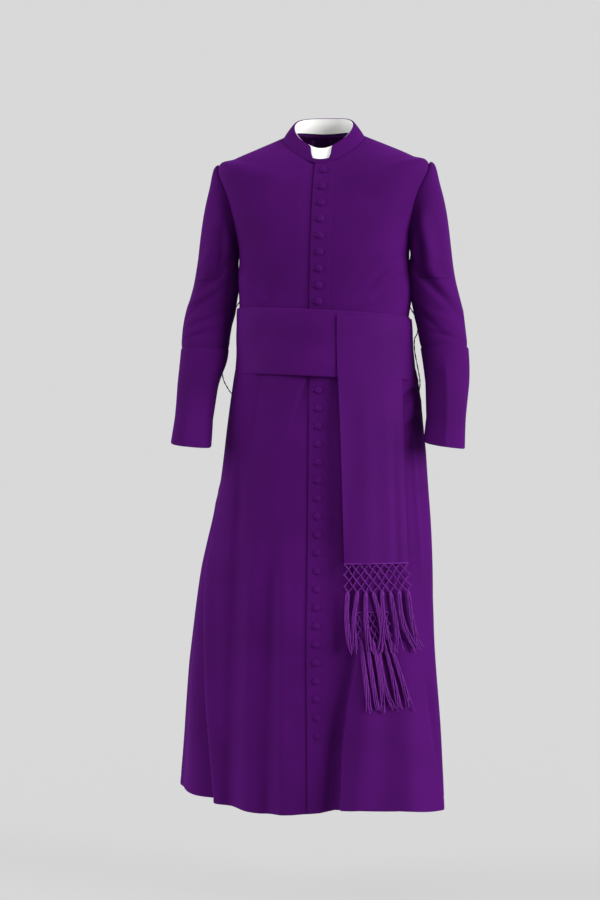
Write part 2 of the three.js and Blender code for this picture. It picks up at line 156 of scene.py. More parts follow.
def body_normal(angle, station):
    step = 0.01
    across = body(angle + step, station) - body(angle - step, station)
    down = body(angle, np.minimum(station + step, LAST)) - body(angle, np.maximum(station - step, 0))
    n = np.cross(down, across)
    return n / np.linalg.norm(n, axis=-1, keepdims=True)


def off_body(angle, station, lift):
    lift = np.asarray(lift, float)
    return body(angle, station) + body_normal(angle, station) * lift[..., None]


def station_at(z, angle=0.0):
    z, angle = np.broadcast_arrays(np.asarray(z, float), np.asarray(angle, float))
    low, high = np.zeros(z.shape), np.full(z.shape, float(LAST))
    for _ in range(34):
        middle = (low + high) / 2
        above = body(angle, middle)[..., 2] > z
        low, high = np.where(above, middle, low), np.where(above, high, middle)
    return low


def angle_at_x(x, station):
    f = section(station)
    out = x - f[..., MIDDLE]
    share = np.minimum(np.abs(out) / f[..., HALF], 0.999)
    return np.arctan2(out, f[..., AHEAD] * (1 - share ** f[..., SQUARE]) ** (1 / f[..., SQUARE]))


def side_angle(y, station):
    f = section(station)
    depth = np.where(y < 0, f[..., AHEAD], f[..., BEHIND])
    share = np.abs(y) / depth
    return np.arctan2(f[..., HALF] * (1 - share ** f[..., SQUARE]) ** (1 / f[..., SQUARE]), -y)


# ---- Small tools for shapes ----
def smooth(low, high, value):
    t = np.clip((value - low) / (high - low), 0, 1)
    return t * t * (3 - 2 * t)


def unit(v):
    return v / np.maximum(np.linalg.norm(v, axis=-1, keepdims=True), 1e-9)


def grid_normals(points, closed=False):
    """Outward-or-inward normals of a grid, rows by columns. The columns of a ring are periodic."""
    if closed:
        across = np.roll(points, -1, 1) - np.roll(points, 1, 1)
    else:
        across = np.gradient(points, axis=1)
    down = np.gradient(points, axis=0)
    return unit(np.cross(down, across))


def edge_steps(count, length, fine=(0.0, 0.0009, 0.0024, 0.005)):
    """Fractions from 0 to 1 with extra steps near both ends, so that an edge can roll over."""
    ends = np.array(fine) / length
    inner = np.linspace(ends[-1], 1 - ends[-1], count)
    return np.concatenate([ends[:-1], inner, 1 - ends[:-1][::-1]])


def edge_roll(fractions, length, depth=0.0009, reach=0.0026):
    """How far a panel's face turns down towards its edges."""
    distance = np.minimum(fractions, 1 - fractions) * length
    return -depth * np.clip(1 - distance / reach, 0, 1) ** 2


def make_object(name, verts, faces, materials, body_name, slots=None, uvs=None, sharp=50.0):
    mesh = bpy.data.meshes.new(name)
    mesh.from_pydata([tuple(v) for v in verts], [], faces)
    for material in materials:
        mesh.materials.append(material)
    if slots is not None:
        mesh.polygons.foreach_set("material_index", np.asarray(slots, np.int32))
    if uvs is not None:
        layer = mesh.uv_layers.new(name="cloth")
        corner = np.empty(len(mesh.loops), np.int32)
        mesh.loops.foreach_get("vertex_index", corner)
        layer.data.foreach_set("uv", np.asarray(uvs, np.float32)[corner].ravel())
    mesh.validate()
    mesh.shade_smooth()
    mesh.set_sharp_from_angle(angle=math.radians(sharp))
    obj = bpy.data.objects.new(name, mesh)
    bpy.context.collection.objects.link(obj)
    if body_name:
        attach(obj, body_name)
    return obj


def shell(points, thickness, closed=False, mask=None, outward=None, base=None):
    """A closed sheet from a grid of outer points. Returns verts, faces, slots and uvs in metres.
    The inner face has slot 1. mask keeps only some of the grid's cells. base, if given, is the same
    grid without its rolled edges, and sets the way in."""
    rows, columns = points.shape[:2]
    normals = grid_normals(points if base is None else base, closed)
    flip = outward is not None and np.sum(normals * outward) < 0
    if flip:
        normals = -normals
    inner = points - normals * (thickness if np.ndim(thickness) == 0 else thickness[..., None])
    verts = np.concatenate([points.reshape(-1, 3), inner.reshape(-1, 3)])
    count = rows * columns
    across = np.linalg.norm(np.diff(points, axis=1), axis=2)
    u = np.concatenate([np.zeros((rows, 1)), np.cumsum(across, axis=1)], axis=1)
    u = u - u[:, [columns // 2]]
    down = np.linalg.norm(np.diff(points, axis=0), axis=2).mean(axis=1)
    v = np.concatenate([[0], -np.cumsum(down)])[:, None] + 0 * u
    uv = np.stack([u, v], -1).reshape(-1, 2)
    uvs = np.concatenate([uv, uv])
    cells_across = columns if closed else columns - 1
    if mask is None:
        mask = np.ones((rows - 1, cells_across), bool)
    index = np.arange(count).reshape(rows, columns)
    faces, slots = [], []

    def face(a, b, c, d, slot):
        faces.append((a, b, c, d) if flip else (d, c, b, a))
        slots.append(slot)

    for r in range(rows - 1):
        for c in range(cells_across):
            if not mask[r, c]:
                continue
            c2 = (c + 1) % columns
            a, b, d, e = index[r, c], index[r, c2], index[r + 1, c], index[r + 1, c2]
            face(a, b, e, d, 0)
            face(a + count, d + count, e + count, b + count, 1)
            if r == 0 or not mask[r - 1, c]:
                face(a, a + count, b + count, b, 0)
            if r == rows - 2 or not mask[r + 1, c]:
                face(d, e, e + count, d + count, 0)
            is_first, is_last = c == 0 and not closed, c == cells_across - 1 and not closed
            if is_first or not mask[r, c - 1]:
                face(a, d, d + count, a + count, 0)
            if is_last or not mask[r, (c + 1) % cells_across]:
                face(b, b + count, e + count, e, 0)
    used = np.zeros(2 * count, bool)
    used[np.unique(np.array(faces))] = True
    renumber = np.cumsum(used) - 1
    faces = [tuple(int(renumber[i]) for i in f) for f in faces]
    return verts[used], faces, slots, uvs[used]


def ring_faces(rings, sides, flip=False):
    """Quads between rings of points, and fans to the two end points that come after the rings."""
    start, end, last = rings * sides, rings * sides + 1, (rings - 1) * sides
    faces = []
    for i in range(rings - 1):
        for k in range(sides):
            k2 = (k + 1) % sides
            faces.append((i * sides + k, i * sides + k2, (i + 1) * sides + k2, (i + 1) * sides + k))
    for k in range(sides):
        k2 = (k + 1) % sides
        faces.append((start, k2, k))
        faces.append((end, last + k, last + k2))
    return [face[:1] + face[:0:-1] for face in faces] if flip else faces


def tube(path, radius, sides=6, taper=None):
    """A capped tube along points. Returns verts and faces."""
    path = np.asarray(path, float)
    count = len(path)
    tangent = unit(np.gradient(path, axis=0))
    first = unit(np.cross(tangent, np.array([0.31, 0.95, 0.05])))
    second = np.cross(tangent, first)
    radii = np.full(count, radius) if taper is None else radius * np.asarray(taper)
    turns = np.linspace(0, 2 * np.pi, sides, endpoint=False)
    ring = first[:, None] * np.cos(turns)[None, :, None] + second[:, None] * np.sin(turns)[None, :, None]
    verts = (path[:, None] + ring * radii[:, None, None]).reshape(-1, 3)
    return np.concatenate([verts, path[[0]], path[[-1]]]), ring_faces(count, sides)


class Gather:
    """Joins many small closed shapes into one mesh."""

    def __init__(self):
        self.verts, self.faces, self.count = [], [], 0

    def add(self, verts, faces):
        self.verts.append(np.asarray(verts))
        self.faces += [tuple(i + self.count for i in f) for f in faces]
        self.count += len(verts)

    def object(self, name, materials, body_name, sharp=60.0):
        return make_object(name, np.concatenate(self.verts), self.faces, materials, body_name, sharp=sharp)


# ---- Materials ----
SHEEN_TINT = (0.26, 0.012, 0.46, 1.0)


def new_material(name, values):
    """A material whose shader's own inputs are set from values."""
    material = bpy.data.materials.new(name)
    material.use_nodes = True
    shader = material.node_tree.nodes["Principled BSDF"]
    for key, value in values.items():
        shader.inputs[key].default_value = value
    return material, material.node_tree, shader


def add_node(tree, kind, values=None, links=None):
    """A node with its inputs set from values, and linked from the sockets in links."""
    made = tree.nodes.new("ShaderNode" + kind)
    for key, value in (values or {}).items():
        made.inputs[key].default_value = value
    for key, socket in (links or {}).items():
        tree.links.new(socket, made.inputs[key])
    return made


def add_noise(tree, scale, detail=2.0):
    place = add_node(tree, "TexCoord").outputs["Object"]
    return add_node(tree, "TexNoise", {"Scale": scale, "Detail": detail}, {"Vector": place}).outputs["Fac"]


def add_sum(tree, factor, scaled, added):
    """scaled times factor, plus added."""
    made = add_node(tree, "Math", {1: factor}, {0: scaled, 2: added})
    made.operation = "MULTIPLY_ADD"
    return made.outputs[0]


def add_colour(tree, shader, factor, dark, light, start=0.0):
    ramp = add_node(tree, "ValToRGB", links={"Fac": factor})
    first, last = ramp.color_ramp.elements
    first.position, last.position = start, 1.0
    first.color, last.color = (*dark, 1.0), (*light, 1.0)
    tree.links.new(ramp.outputs["Color"], shader.inputs["Base Color"])


def add_roughness(tree, shader, factor, low, high):
    made = add_node(tree, "MapRange", {"To Min": low, "To Max": high}, {"Value": factor})
    tree.links.new(made.outputs["Result"], shader.inputs["Roughness"])


def add_bump(tree, shader, height, strength, depth):
    made = add_node(tree, "Bump", {"Strength": strength, "Distance": depth}, {"Height": height})
    tree.links.new(made.outputs["Normal"], shader.inputs["Normal"])


def cloth_material(name, dark, light, roughness, sheen, ribs_across, ribs_down, depth):
    """Woven cloth: a fine twill or rib in UV metres, a slow colour change and a soft sheen."""
    material, tree, shader = new_material(name, {
        "Sheen Weight": sheen, "Sheen Roughness": 0.45, "Sheen Tint": SHEEN_TINT, "Specular IOR Level": 0.02})
    uv = add_node(tree, "UVMap")
    uv.uv_map = "cloth"
    scaled = add_node(tree, "Mapping", {"Scale": (ribs_across, ribs_down, 1.0)}, {"Vector": uv.outputs["UV"]})
    twill = add_node(tree, "TexWave", {"Scale": 1.0, "Distortion": 0.6, "Detail": 1.0},
                     {"Vector": scaled.outputs["Vector"]})
    twill.wave_type, twill.bands_direction = "BANDS", "DIAGONAL"
    weave = twill.outputs["Fac"]
    slow = add_noise(tree, 9.0, 4.0)
    add_colour(tree, shader, add_sum(tree, 0.35, weave, slow), dark, light, start=0.3)
    add_roughness(tree, shader, slow, roughness - 0.06, min(1.0, roughness + 0.06))
    add_bump(tree, shader, add_sum(tree, 0.5, add_noise(tree, 1400.0), weave), 0.45, depth)
    return material


def yarn_material():
    """Twisted silk yarn, with its ply drawn as fine slanting bands."""
    material, tree, shader = new_material("silk_yarn", {
        "Sheen Weight": 0.2, "Sheen Tint": SHEEN_TINT, "Specular IOR Level": 0.1})
    ply = add_node(tree, "TexWave", {"Scale": 160.0, "Distortion": 2.0},
                   {"Vector": add_node(tree, "TexCoord").outputs["Object"]})
    ply.bands_direction = "DIAGONAL"
    bands = ply.outputs["Fac"]
    add_colour(tree, shader, bands, (0.048, 0.0034, 0.082), (0.118, 0.0088, 0.190))
    add_roughness(tree, shader, bands, 0.5, 0.75)
    add_bump(tree, shader, bands, 0.5, 0.0004)
    return material


def tab_material():
    material, tree, shader = new_material("white_tab", {})
    noise = add_noise(tree, 60.0)
    add_colour(tree, shader, noise, (0.84, 0.84, 0.83), (0.9, 0.9, 0.89))
    add_roughness(tree, shader, noise, 0.35, 0.45)
    return material


PURPLE_DARK, PURPLE_LIGHT = (0.0345, 0.0023, 0.0595), (0.048, 0.0033, 0.0845)
SILK_DARK, SILK_LIGHT = (0.036, 0.0024, 0.062), (0.050, 0.0034, 0.088)
LINING_DARK, LINING_LIGHT = (0.03, 0.004, 0.055), (0.045, 0.006, 0.08)
COTTON_DARK, COTTON_LIGHT = (0.74, 0.74, 0.72), (0.86, 0.86, 0.84)
FELT_DARK, FELT_LIGHT = (0.55, 0.52, 0.48), (0.7, 0.67, 0.62)
# Roughness, sheen, ribs per metre across and down, and depth of the weave.
wool = cloth_material("wool_twill", PURPLE_DARK, PURPLE_LIGHT, 0.82, 0.18, 260, 260, 0.00012)
silk = cloth_material("ribbed_silk", SILK_DARK, SILK_LIGHT, 0.7, 0.18, 420, 30, 0.0001)
lining = cloth_material("satin_lining", LINING_DARK, LINING_LIGHT, 0.5, 0.1, 500, 500, 0.00005)
cotton = cloth_material("white_cotton", COTTON_DARK, COTTON_LIGHT, 0.75, 0.1, 500, 500, 0.00005)
felt = cloth_material("felt_wadding", FELT_DARK, FELT_LIGHT, 0.95, 0.2, 200, 200, 0.0003)


yarn = yarn_material()
tab_white = tab_material()

# ---- Folds of the robe ----
# Each fold is a line down the body: heights and places across in mm, depths at heights in mm
# (negative is a valley), and its reach to the viewer's left and right in mm.
FRONT_FOLDS = [
    dict(line=[(-500, 22), (-950, 28)],
         depth=[(-490, 0), (-620, -6), (-900, -8), (-1010, 0)], reach=(40, 20)),
    dict(line=[(-980, 96), (-1068, 80), (-1173, 62), (-1245, 52), (-1390, 46)],
         depth=[(-950, 0), (-1040, -12), (-1200, -23), (-1390, -28)], reach=(46, 4)),
    dict(line=[(-960, 122), (-1068, 108), (-1390, 82)],
         depth=[(-960, 0), (-1100, 10), (-1390, 14)], reach=(24, 46)),
    dict(line=[(-700, 60), (-980, 60), (-1173, 26), (-1390, 10)],
         depth=[(-700, 0), (-900, -5), (-1200, -11), (-1390, -13)], reach=(60, 36)),
    dict(line=[(-900, 165), (-1390, 190)], depth=[(-850, 0), (-1100, 5), (-1390, 8)], reach=(40, 50)),
    dict(line=[(-1100, 214), (-1180, 226), (-1300, 240)],
         depth=[(-1100, 0), (-1180, -8), (-1260, -5), (-1330, 0)], reach=(14, 24)),
    dict(line=[(-860, -93), (-1390, -100)],
         depth=[(-800, 0), (-930, -7), (-1200, -6), (-1390, -9)], reach=(20, 18)),
    dict(line=[(-800, -131), (-1390, -140)], depth=[(-760, 0), (-950, 6), (-1390, 6)], reach=(24, 24)),
    dict(line=[(-840, -70), (-1390, -66)], depth=[(-800, 0), (-930, 5), (-1390, 6)], reach=(10, 16)),
    dict(line=[(-640, -165), (-900, -172), (-1390, -186)],
         depth=[(-600, 0), (-760, -6), (-1100, -5), (-1390, -8)], reach=(22, 26)),
    dict(line=[(-520, -60), (-780, -100), (-990, -128)],
         depth=[(-510, 0), (-600, 4), (-800, 5), (-950, 0)], reach=(34, 34)),
    dict(line=[(-505, -22), (-560, -40), (-620, -55)],
         depth=[(-460, 0), (-495, -4), (-540, -4), (-640, 0)], reach=(5, 14)),
    dict(line=[(-505, -120), (-700, -150)],
         depth=[(-460, 0), (-495, -3), (-600, -4), (-720, 0)], reach=(14, 20)),
    dict(line=[(-505, 158), (-600, 163), (-760, 172), (-900, 182)],
         depth=[(-460, 0), (-492, -8), (-600, -6), (-760, -4), (-900, 0)], reach=(6, 10)),
    dict(line=[(-560, 182), (-900, 205)],
         depth=[(-530, 0), (-640, 4), (-860, 4), (-940, 0)], reach=(12, 16)),
    dict(line=[(-1250, -20), (-1390, -34)], depth=[(-1220, 0), (-1390, -4)], reach=(12, 12)),
]
# Folds given by their angle round the body in degrees instead: the side pleats and the back.
ROUND_FOLDS = [
    dict(line=[(-200, 88), (-960, 90)],
         depth=[(-200, 0), (-280, 4), (-325, 8), (-352, 5), (-390, -1), (-440, -4), (-458, -7),
                (-470, -2), (-488, 7), (-560, 10), (-660, 11), (-800, 7), (-960, 0)], reach=(34, 34)),
    dict(line=[(-380, -90), (-500, -90)],
         depth=[(-390, 0), (-440, -5), (-458, -8), (-468, -4), (-482, 0)], reach=(34, 34)),
    dict(line=[(-740, -87), (-800, -82), (-970, -74), (-1100, -67), (-1250, -60), (-1390, -54)],
         depth=[(-740, 0), (-800, -11), (-970, -24), (-1390, -34)], reach=(42, 7)),
    dict(line=[(-740, -81), (-970, -68), (-1145, -60), (-1390, -50)],
         depth=[(-740, 0), (-970, 4), (-1390, 6)], reach=(16, 20)),
    dict(line=[(-700, -97), (-1200, -96)],
         depth=[(-680, 0), (-770, 13), (-850, 11), (-940, 7), (-1150, 0)], reach=(38, 22)),
    dict(line=[(-900, -92), (-1390, -88)], depth=[(-860, 0), (-1100, 7), (-1390, 9)], reach=(20, 20)),
    dict(line=[(-700, -112), (-1390, -110)],
         depth=[(-660, 0), (-1000, -12), (-1390, -22)], reach=(34, 26)),
    dict(line=[(-640, -134), (-1390, -133)], depth=[(-560, 0), (-1000, 9), (-1390, 12)], reach=(36, 36)),
    dict(line=[(-520, -158), (-1390, -155)],
         depth=[(-460, 0), (-505, -3), (-900, -16), (-1390, -26)], reach=(40, 9)),
    dict(line=[(-520, 180), (-1390, 180)],
         depth=[(-460, 0), (-505, -3), (-900, -18), (-1390, -28)], reach=(26, 26)),
    dict(line=[(-520, 158), (-1390, 155)],
         depth=[(-460, 0), (-505, -3), (-900, -16), (-1390, -26)], reach=(9, 40)),
    dict(line=[(-640, 134), (-1390, 133)], depth=[(-560, 0), (-1000, 9), (-1390, 12)], reach=(36, 36)),
    dict(line=[(-700, 110), (-1390, 108)], depth=[(-660, 0), (-1000, -12), (-1390, -20)], reach=(26, 34)),
    dict(line=[(-760, 84), (-1390, 80)], depth=[(-740, 0), (-1000, 5), (-1390, 6)], reach=(26, 26)),
    dict(line=[(-150, -150), (-340, -146)], depth=[(-120, 0), (-250, -3), (-360, 0)], reach=(30, 30)),
    dict(line=[(-150, 150), (-340, 146)], depth=[(-120, 0), (-250, -3), (-360, 0)], reach=(30, 30)),
]
# Short slanting drag lines: from and to (across, height), depth and half-width, all in mm.
DRAGS = [
    ((174, -246), (92, -330), -4.4, 8), ((176, -285), (104, -352), -3.8, 7),
    ((176, -215), (118, -268), 2.0, 10), ((-172, -256), (-106, -345), -3.4, 8),
    ((-170, -300), (-116, -362), 2.0, 10), ((150, -330), (60, -362), 1.8, 9),
    ((-60, -110), (-120, -170), -1.0, 14), ((70, -105), (130, -160), -1.0, 14),
    ((202, -512), (160, -566), -6.5, 6), ((204, -572), (164, -630), -5.0, 6),
    ((194, -545), (160, -596), 3.4, 7), ((150, -250), (40, -350), -1.8, 16),
    ((-150, -270), (-40, -356), -1.6, 16),
]


# The cloth stands up over the end of the shoulder pad: height in mm, place down the sections and reach.
SHOULDER_RISE = 6.8
RISE_STATION, RISE_REACH, RISE_HALF_ANGLE = 3.12, 0.42, 0.5


def profile(distance, reach):
    left, right = reach
    return np.exp(-(distance / np.where(distance < 0, left, right)) ** 2)


def at_height(pairs, z):
    heights, values = zip(*sorted(pairs))
    return np.interp(z, heights, values)


def strokes(x, z, lines):
    """Soft creases drawn as lines, each with a low ridge above its valley. All in mm."""
    lift = np.zeros(np.broadcast(x, z).shape)
    for (x0, z0), (x1, z1), depth, half in lines:
        length = math.hypot(x1 - x0, z1 - z0)
        along = ((x - x0) * (x1 - x0) + (z - z0) * (z1 - z0)) / length ** 2
        off = ((x - x0) * (z1 - z0) - (z - z0) * (x1 - x0)) / length
        shape = np.exp(-(off / half) ** 2) - 0.5 * np.exp(-((off - 2.1 * half) / (1.4 * half)) ** 2)
        lift += depth * shape * np.clip(1 - (2 * along - 1) ** 2, 0, 1)
    return lift


def folds(angle, station):
    """How far the cloth stands off the body form, in metres."""
    p = body(angle, station)
    x, z = p[..., 0] * 1000, p[..., 2] * 1000
    reach_out = np.hypot(p[..., 0], p[..., 1]) * 1000
    is_front = np.cos(angle) > 0
    lift = np.zeros(x.shape)
    squint = np.maximum(np.abs(np.cos(angle)), 0.25)
    for fold in FRONT_FOLDS:
        distance = (x - at_height(fold["line"], z)) / squint
        lift += is_front * at_height(fold["depth"], z) * profile(distance, fold["reach"])
    for fold in ROUND_FOLDS:
        turn = np.radians(at_height(fold["line"], z))
        apart = (angle - turn + np.pi) % (2 * np.pi) - np.pi
        lift += at_height(fold["depth"], z) * profile(apart * reach_out, fold["reach"])
    lift += is_front * strokes(x, z, DRAGS)
    soft = np.sin(x * 0.021 + z * 0.006 + 1.3) * np.sin(z * 0.011 - x * 0.004)
    lift += soft * (0.8 + 1.6 * smooth(-450, -1300, z) * (z < -450))
    at_side = np.abs(np.arctan2(np.sin(angle), np.cos(angle)))
    along, round_it = (station - RISE_STATION) / RISE_REACH, (at_side - np.pi / 2) / RISE_HALF_ANGLE
    lift += SHOULDER_RISE * np.exp(-along ** 2 - round_it ** 2)
    return lift * MM


# ---- Robe panels: each is cut in one length from shoulder to hem ----
CLOTH_THICK = 0.0025
SEAM_OVERLAP = 0.001  # the angle by which each back panel passes the middle, so that no gap shows
PLACKET = 0.019
UNDERLAP = 0.020
SUNK = 0.0028
ARMHOLE_HALF = 0.054


def edge_reach(station):
    level = np.clip(station - (SHOULDER_TIP + ARMPIT) / 2, -1, 1)
    return ARMHOLE_HALF * np.sqrt(np.maximum(0, 1 - level ** 2))


def front_edge(station):
    return side_angle(-edge_reach(station), station)


def back_edge(station):
    return side_angle(edge_reach(station), station)


def even_stations(step):
    """Stations with even spacing down the front of the shoulder, finer at the armhole and the edges."""
    fine = np.linspace(NECK, float(LAST), 3000)
    path = body(np.full(fine.shape, 1.0), fine)
    run = np.concatenate([[0], np.cumsum(np.linalg.norm(np.diff(path, axis=0), axis=1))])
    even = edge_steps(int(run[-1] / step), run[-1]) * run[-1]
    stations = np.interp(even, run, fine)
    lowered = edge_roll(even / run[-1], run[-1])
    extra = (SHOULDER_TIP + ARMPIT) / 2 - np.cos(np.linspace(0, np.pi, 25))
    both = np.concatenate([stations, extra])
    order = np.argsort(both)
    both, lowered = both[order], np.concatenate([lowered, np.zeros(len(extra))])[order]
    keep = np.concatenate([[True], np.diff(both) > 2e-4])
    return both[keep], lowered[keep]


ROW_STEP = 0.0052
COLUMN_STEP = 0.0037
panel_rows, row_roll = even_stations(ROW_STEP)
HEM_RISE = 0.022


def panel_grid(start, end, width, extra_lift=None):
    """A panel's outer face between two edges, which are angles at each station."""
    steps = edge_steps(int(width / COLUMN_STEP), width, (0.0, 0.0006, 0.0015, 0.004))
    s = panel_rows[:, None]
    angle = start(s) * (1 - steps) + end(s) * steps
    station = np.broadcast_to(s, angle.shape)
    lift = folds(angle, station)
    z = body(angle, station)[..., 2]
    lift += -0.0008 * np.exp(-((z - hem_raise(angle, z) - HEM_Z * MM - HEM_RISE) / 0.0018) ** 2)
    if extra_lift is not None:
        lift += extra_lift(angle, station)
    rolled = lift + row_roll[:, None] + edge_roll(steps, width, 0.0007, 0.0018)[None, :]
    return off_body(angle, station, rolled), body_normal(angle, station), off_body(angle, station, lift)


def make_panel(name, start, end, width, nodes, extra_lift=None):
    grid, outward, base = panel_grid(start, end, width, extra_lift)
    verts, faces, slots, uvs = shell(grid, CLOTH_THICK, outward=outward, base=base)
    obj = make_object(name, verts, faces, [wool, lining], "garment", slots, uvs)
    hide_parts(*nodes)


def across(x):
    return lambda s: angle_at_x(x + lean(section(s)[..., FRONT]), s)


def underlay(angle, station):
    """The right front dips beneath the left one and runs on flat below it."""
    p = body(angle, station)
    x = p[..., 0] - lean(p[..., 2])
    return -SUNK * smooth(-PLACKET - 0.030, -PLACKET - 0.0006, x)


def overlap_print(angle, station):
    """The edge of the underlap shows faintly through the left front, and its own edge lies crisp."""
    p = body(angle, station)
    x = p[..., 0] - lean(p[..., 2])
    return -0.0004 * np.exp(-((x - UNDERLAP - 0.003) / 0.003) ** 2)


make_panel("front_panel_left", across(-PLACKET), front_edge, 0.36, ["bodice_front_left", "skirt_front_left"],
           overlap_print)
make_panel("front_panel_right", lambda s: -front_edge(s), across(UNDERLAP), 0.40,
           ["bodice_front_right", "skirt_front_right"], underlay)
CENTRE_BACK = math.pi
make_panel("back_panel_left", back_edge, lambda s: CENTRE_BACK + SEAM_OVERLAP + 0 * s, 0.36, ["bodice_back"])
make_panel("back_panel_right", lambda s: CENTRE_BACK - SEAM_OVERLAP + 0 * s,
           lambda s: 2 * math.pi - back_edge(s), 0.36, ["skirt_back"])

# ---- Collar ----
COLLAR_THICK = 0.003
COLLAR_TOP = (0.064, 0.060, 0.054, 2.1)
COLLAR_RISE = (0.033, 0.027, 0.038)
COLLAR_SEAT = 0.045  # share of its height by which it starts below the seam
INLAY_FOOT = 0.14
TOP_RADIUS = 0.0665
NOTCH_GAP = 0.004
COLLAR_HEIGHT, INLAY_HEIGHT = 0.033, 0.03
NOTCH_HALF = 0.024
NOTCH_SILL = 0.25
NOTCH_TAPER = 0.34
TAB_ANGLE = math.radians(30)
LINING_ANGLE = math.radians(38)


def collar_point(angle, level, lift):
    base = body(angle, np.zeros(np.shape(angle)))
    r = np.hypot(base[..., 0], base[..., 1]) * (1 - level) + squared_radius(angle, *COLLAR_TOP) * level + lift
    z = base[..., 2] + 0.0006 + level * around(angle, *COLLAR_RISE)
    return np.stack([r * np.sin(angle), -r * np.cos(angle), z], -1)


def collar_bow(level):
    """The stand swells a little between its seam and its top fold."""
    return 0.0012 * np.sin(np.pi * np.clip(level, 0, 1))


def make_collar():
    notch = math.asin(NOTCH_HALF / TOP_RADIUS)
    low = np.linspace(-notch, notch, 26)
    high = notch + NOTCH_GAP + (2 * math.pi - 2 * notch - 2 * NOTCH_GAP) * edge_steps(120, 0.42)
    angles = np.concatenate([low, high])
    tops = np.concatenate([np.full(len(low), NOTCH_SILL), np.ones(len(high))])
    corner = np.minimum(np.abs(high - high[0]), np.abs(high - high[-1]))
    tops[len(low):] -= 0.07 * np.clip(1 - corner / 0.05, 0, 1) ** 2
    steps = edge_steps(9, COLLAR_HEIGHT)
    level = steps[:, None] * (tops[None, :] + COLLAR_SEAT) - COLLAR_SEAT
    lift = edge_roll(steps, COLLAR_HEIGHT, 0.001)[:, None] + collar_bow(level)
    turned = np.where(angles > math.pi, angles - 2 * math.pi, angles)
    draw_in = NOTCH_TAPER * (1 - level) * (1 - smooth(notch, 1.1, np.abs(turned)))
    grid = collar_point(turned * (1 - draw_in), level, lift)[::-1]
    outward = grid * [1, 1, 0]
    verts, faces, slots, uvs = shell(grid, COLLAR_THICK, closed=True, outward=outward)
    obj = make_object("collar", verts, faces, [wool, lining], "garment", slots, uvs)
    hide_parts("collar_stand")


def make_inlay(name, start, end, depth, thickness, top, material, body_name, node):
    """The white neckband lining or the white tab, inside the collar and depth behind it."""
    count, width = (60, 0.3) if body_name == "garment" else (26, 0.07)
    angles = start + (end - start) * edge_steps(count, width)
    steps = edge_steps(6, INLAY_HEIGHT)
    level = (INLAY_FOOT + (top - INLAY_FOOT) * steps[:, None]) + 0 * angles[None, :]
    lift = -COLLAR_THICK - depth + edge_roll(steps, INLAY_HEIGHT, 0.0004)[:, None] + 0 * level
    grid = collar_point(np.broadcast_to(angles, level.shape), level, lift)[::-1]
    verts, faces, slots, uvs = shell(grid, thickness, outward=grid * [1, 1, 0])
    obj = make_object(name, verts, faces, [material, material], body_name, slots, uvs)
    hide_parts(node)


make_collar()
make_inlay("neckband_lining", LINING_ANGLE, 2 * math.pi - LINING_ANGLE, 0.0015, 0.001, 0.95, cotton,
           "garment", "collar_lining")
make_inlay("white_tab", -TAB_ANGLE, TAB_ANGLE, 0.0036, 0.001, 0.99, tab_white,
           "tab", "collar_insert")

# ---- Buttons and buttonholes ----
BUTTON_COUNT = 33
BUTTON_R, BUTTON_H, BUTTON_SIDES = 0.0076, 0.0040, 32
# Shares of the radius and the height, from the seat to the crown.
BUTTON_PROFILE = [(0.62, 0.0), (0.9, 0.06), (1.0, 0.24), (0.985, 0.38), (0.9, 0.6), (0.72, 0.82),
                  (0.5, 0.94), (0.25, 0.99)]
BUTTONHOLE_START, BUTTONHOLE_END, STITCH_R = -0.0125, 0.008, 0.0005


def button_mesh():
    """A covered button: a low dome whose cover is drawn under its rim in small tucks."""
    verts = []
    for r, h in BUTTON_PROFILE:
        for k in range(BUTTON_SIDES):
            turn = 2 * math.pi * k / BUTTON_SIDES
            tuck = 1 - 0.03 * (h < 0.3) * (k % 2)
            x, y = BUTTON_R * r * tuck * math.cos(turn), BUTTON_R * r * tuck * math.sin(turn)
            verts.append((x, y, BUTTON_H * h))
    verts += [(0, 0, 0), (0, 0, BUTTON_H)]
    return np.array(verts), ring_faces(len(BUTTON_PROFILE), BUTTON_SIDES)


def frame_from(normal):
    """Columns: across, up along the cloth and out."""
    across_axis = unit(np.cross(np.array([0, 0, 1.0]), normal))
    return np.stack([across_axis, np.cross(normal, across_axis), normal], axis=1)


def make_buttons():
    shape, faces = button_mesh()
    stitches = Gather()
    for number in range(1, BUTTON_COUNT + 1):
        node = f"button_{number:02d}"
        low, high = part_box(node)
        z = (low[2] + high[2]) / 2
        station = station_at(np.array(z))
        angle = across(0.0)(station)
        lift = folds(angle, station)
        seat = off_body(angle, station, lift + 0.0004)
        axes = frame_from(body_normal(angle, station))
        verts = shape @ axes.T + seat
        obj = make_object(f"covered_{node}", verts, faces, [silk], "garment",
                          uvs=shape[:, :2] + np.array([0, z]), sharp=80)
        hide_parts(node)
        for side in (-1, 1):
            path = []
            for x in np.linspace(BUTTONHOLE_START, BUTTONHOLE_END, 14):
                half = 0.0009 - 0.0009 * (abs(x + 0.004) > 0.0115)
                path.append(seat + axes @ np.array([x, side * half, 0.0004]))
            stitches.add(*tube(path, STITCH_R, 6))
    obj = stitches.object("buttonhole_stitching", [yarn], "garment")


make_buttons()

# ---- Sleeves ----
# Height, middle across and ahead, half-width and half-depth, in mm.
ARM = np.array([
    (-245, 221, 4, 43, 60), (-310, 229, 8, 48, 58), (-365, 240.5, 8, 50, 56), (-442, 252, -3, 46, 57),
    (-517, 261, -22, 42, 54), (-592, 266, -44, 39, 52), (-650, 267, -62, 41, 53),
]) * MM
SLEEVE_TOP, CUFF_TOP, CUFF_BASE = -0.245, -0.442, -0.650
WRIST_DRIFT = {1: -0.013, -1: 0.005}
SLEEVE_SPLIT = -0.300


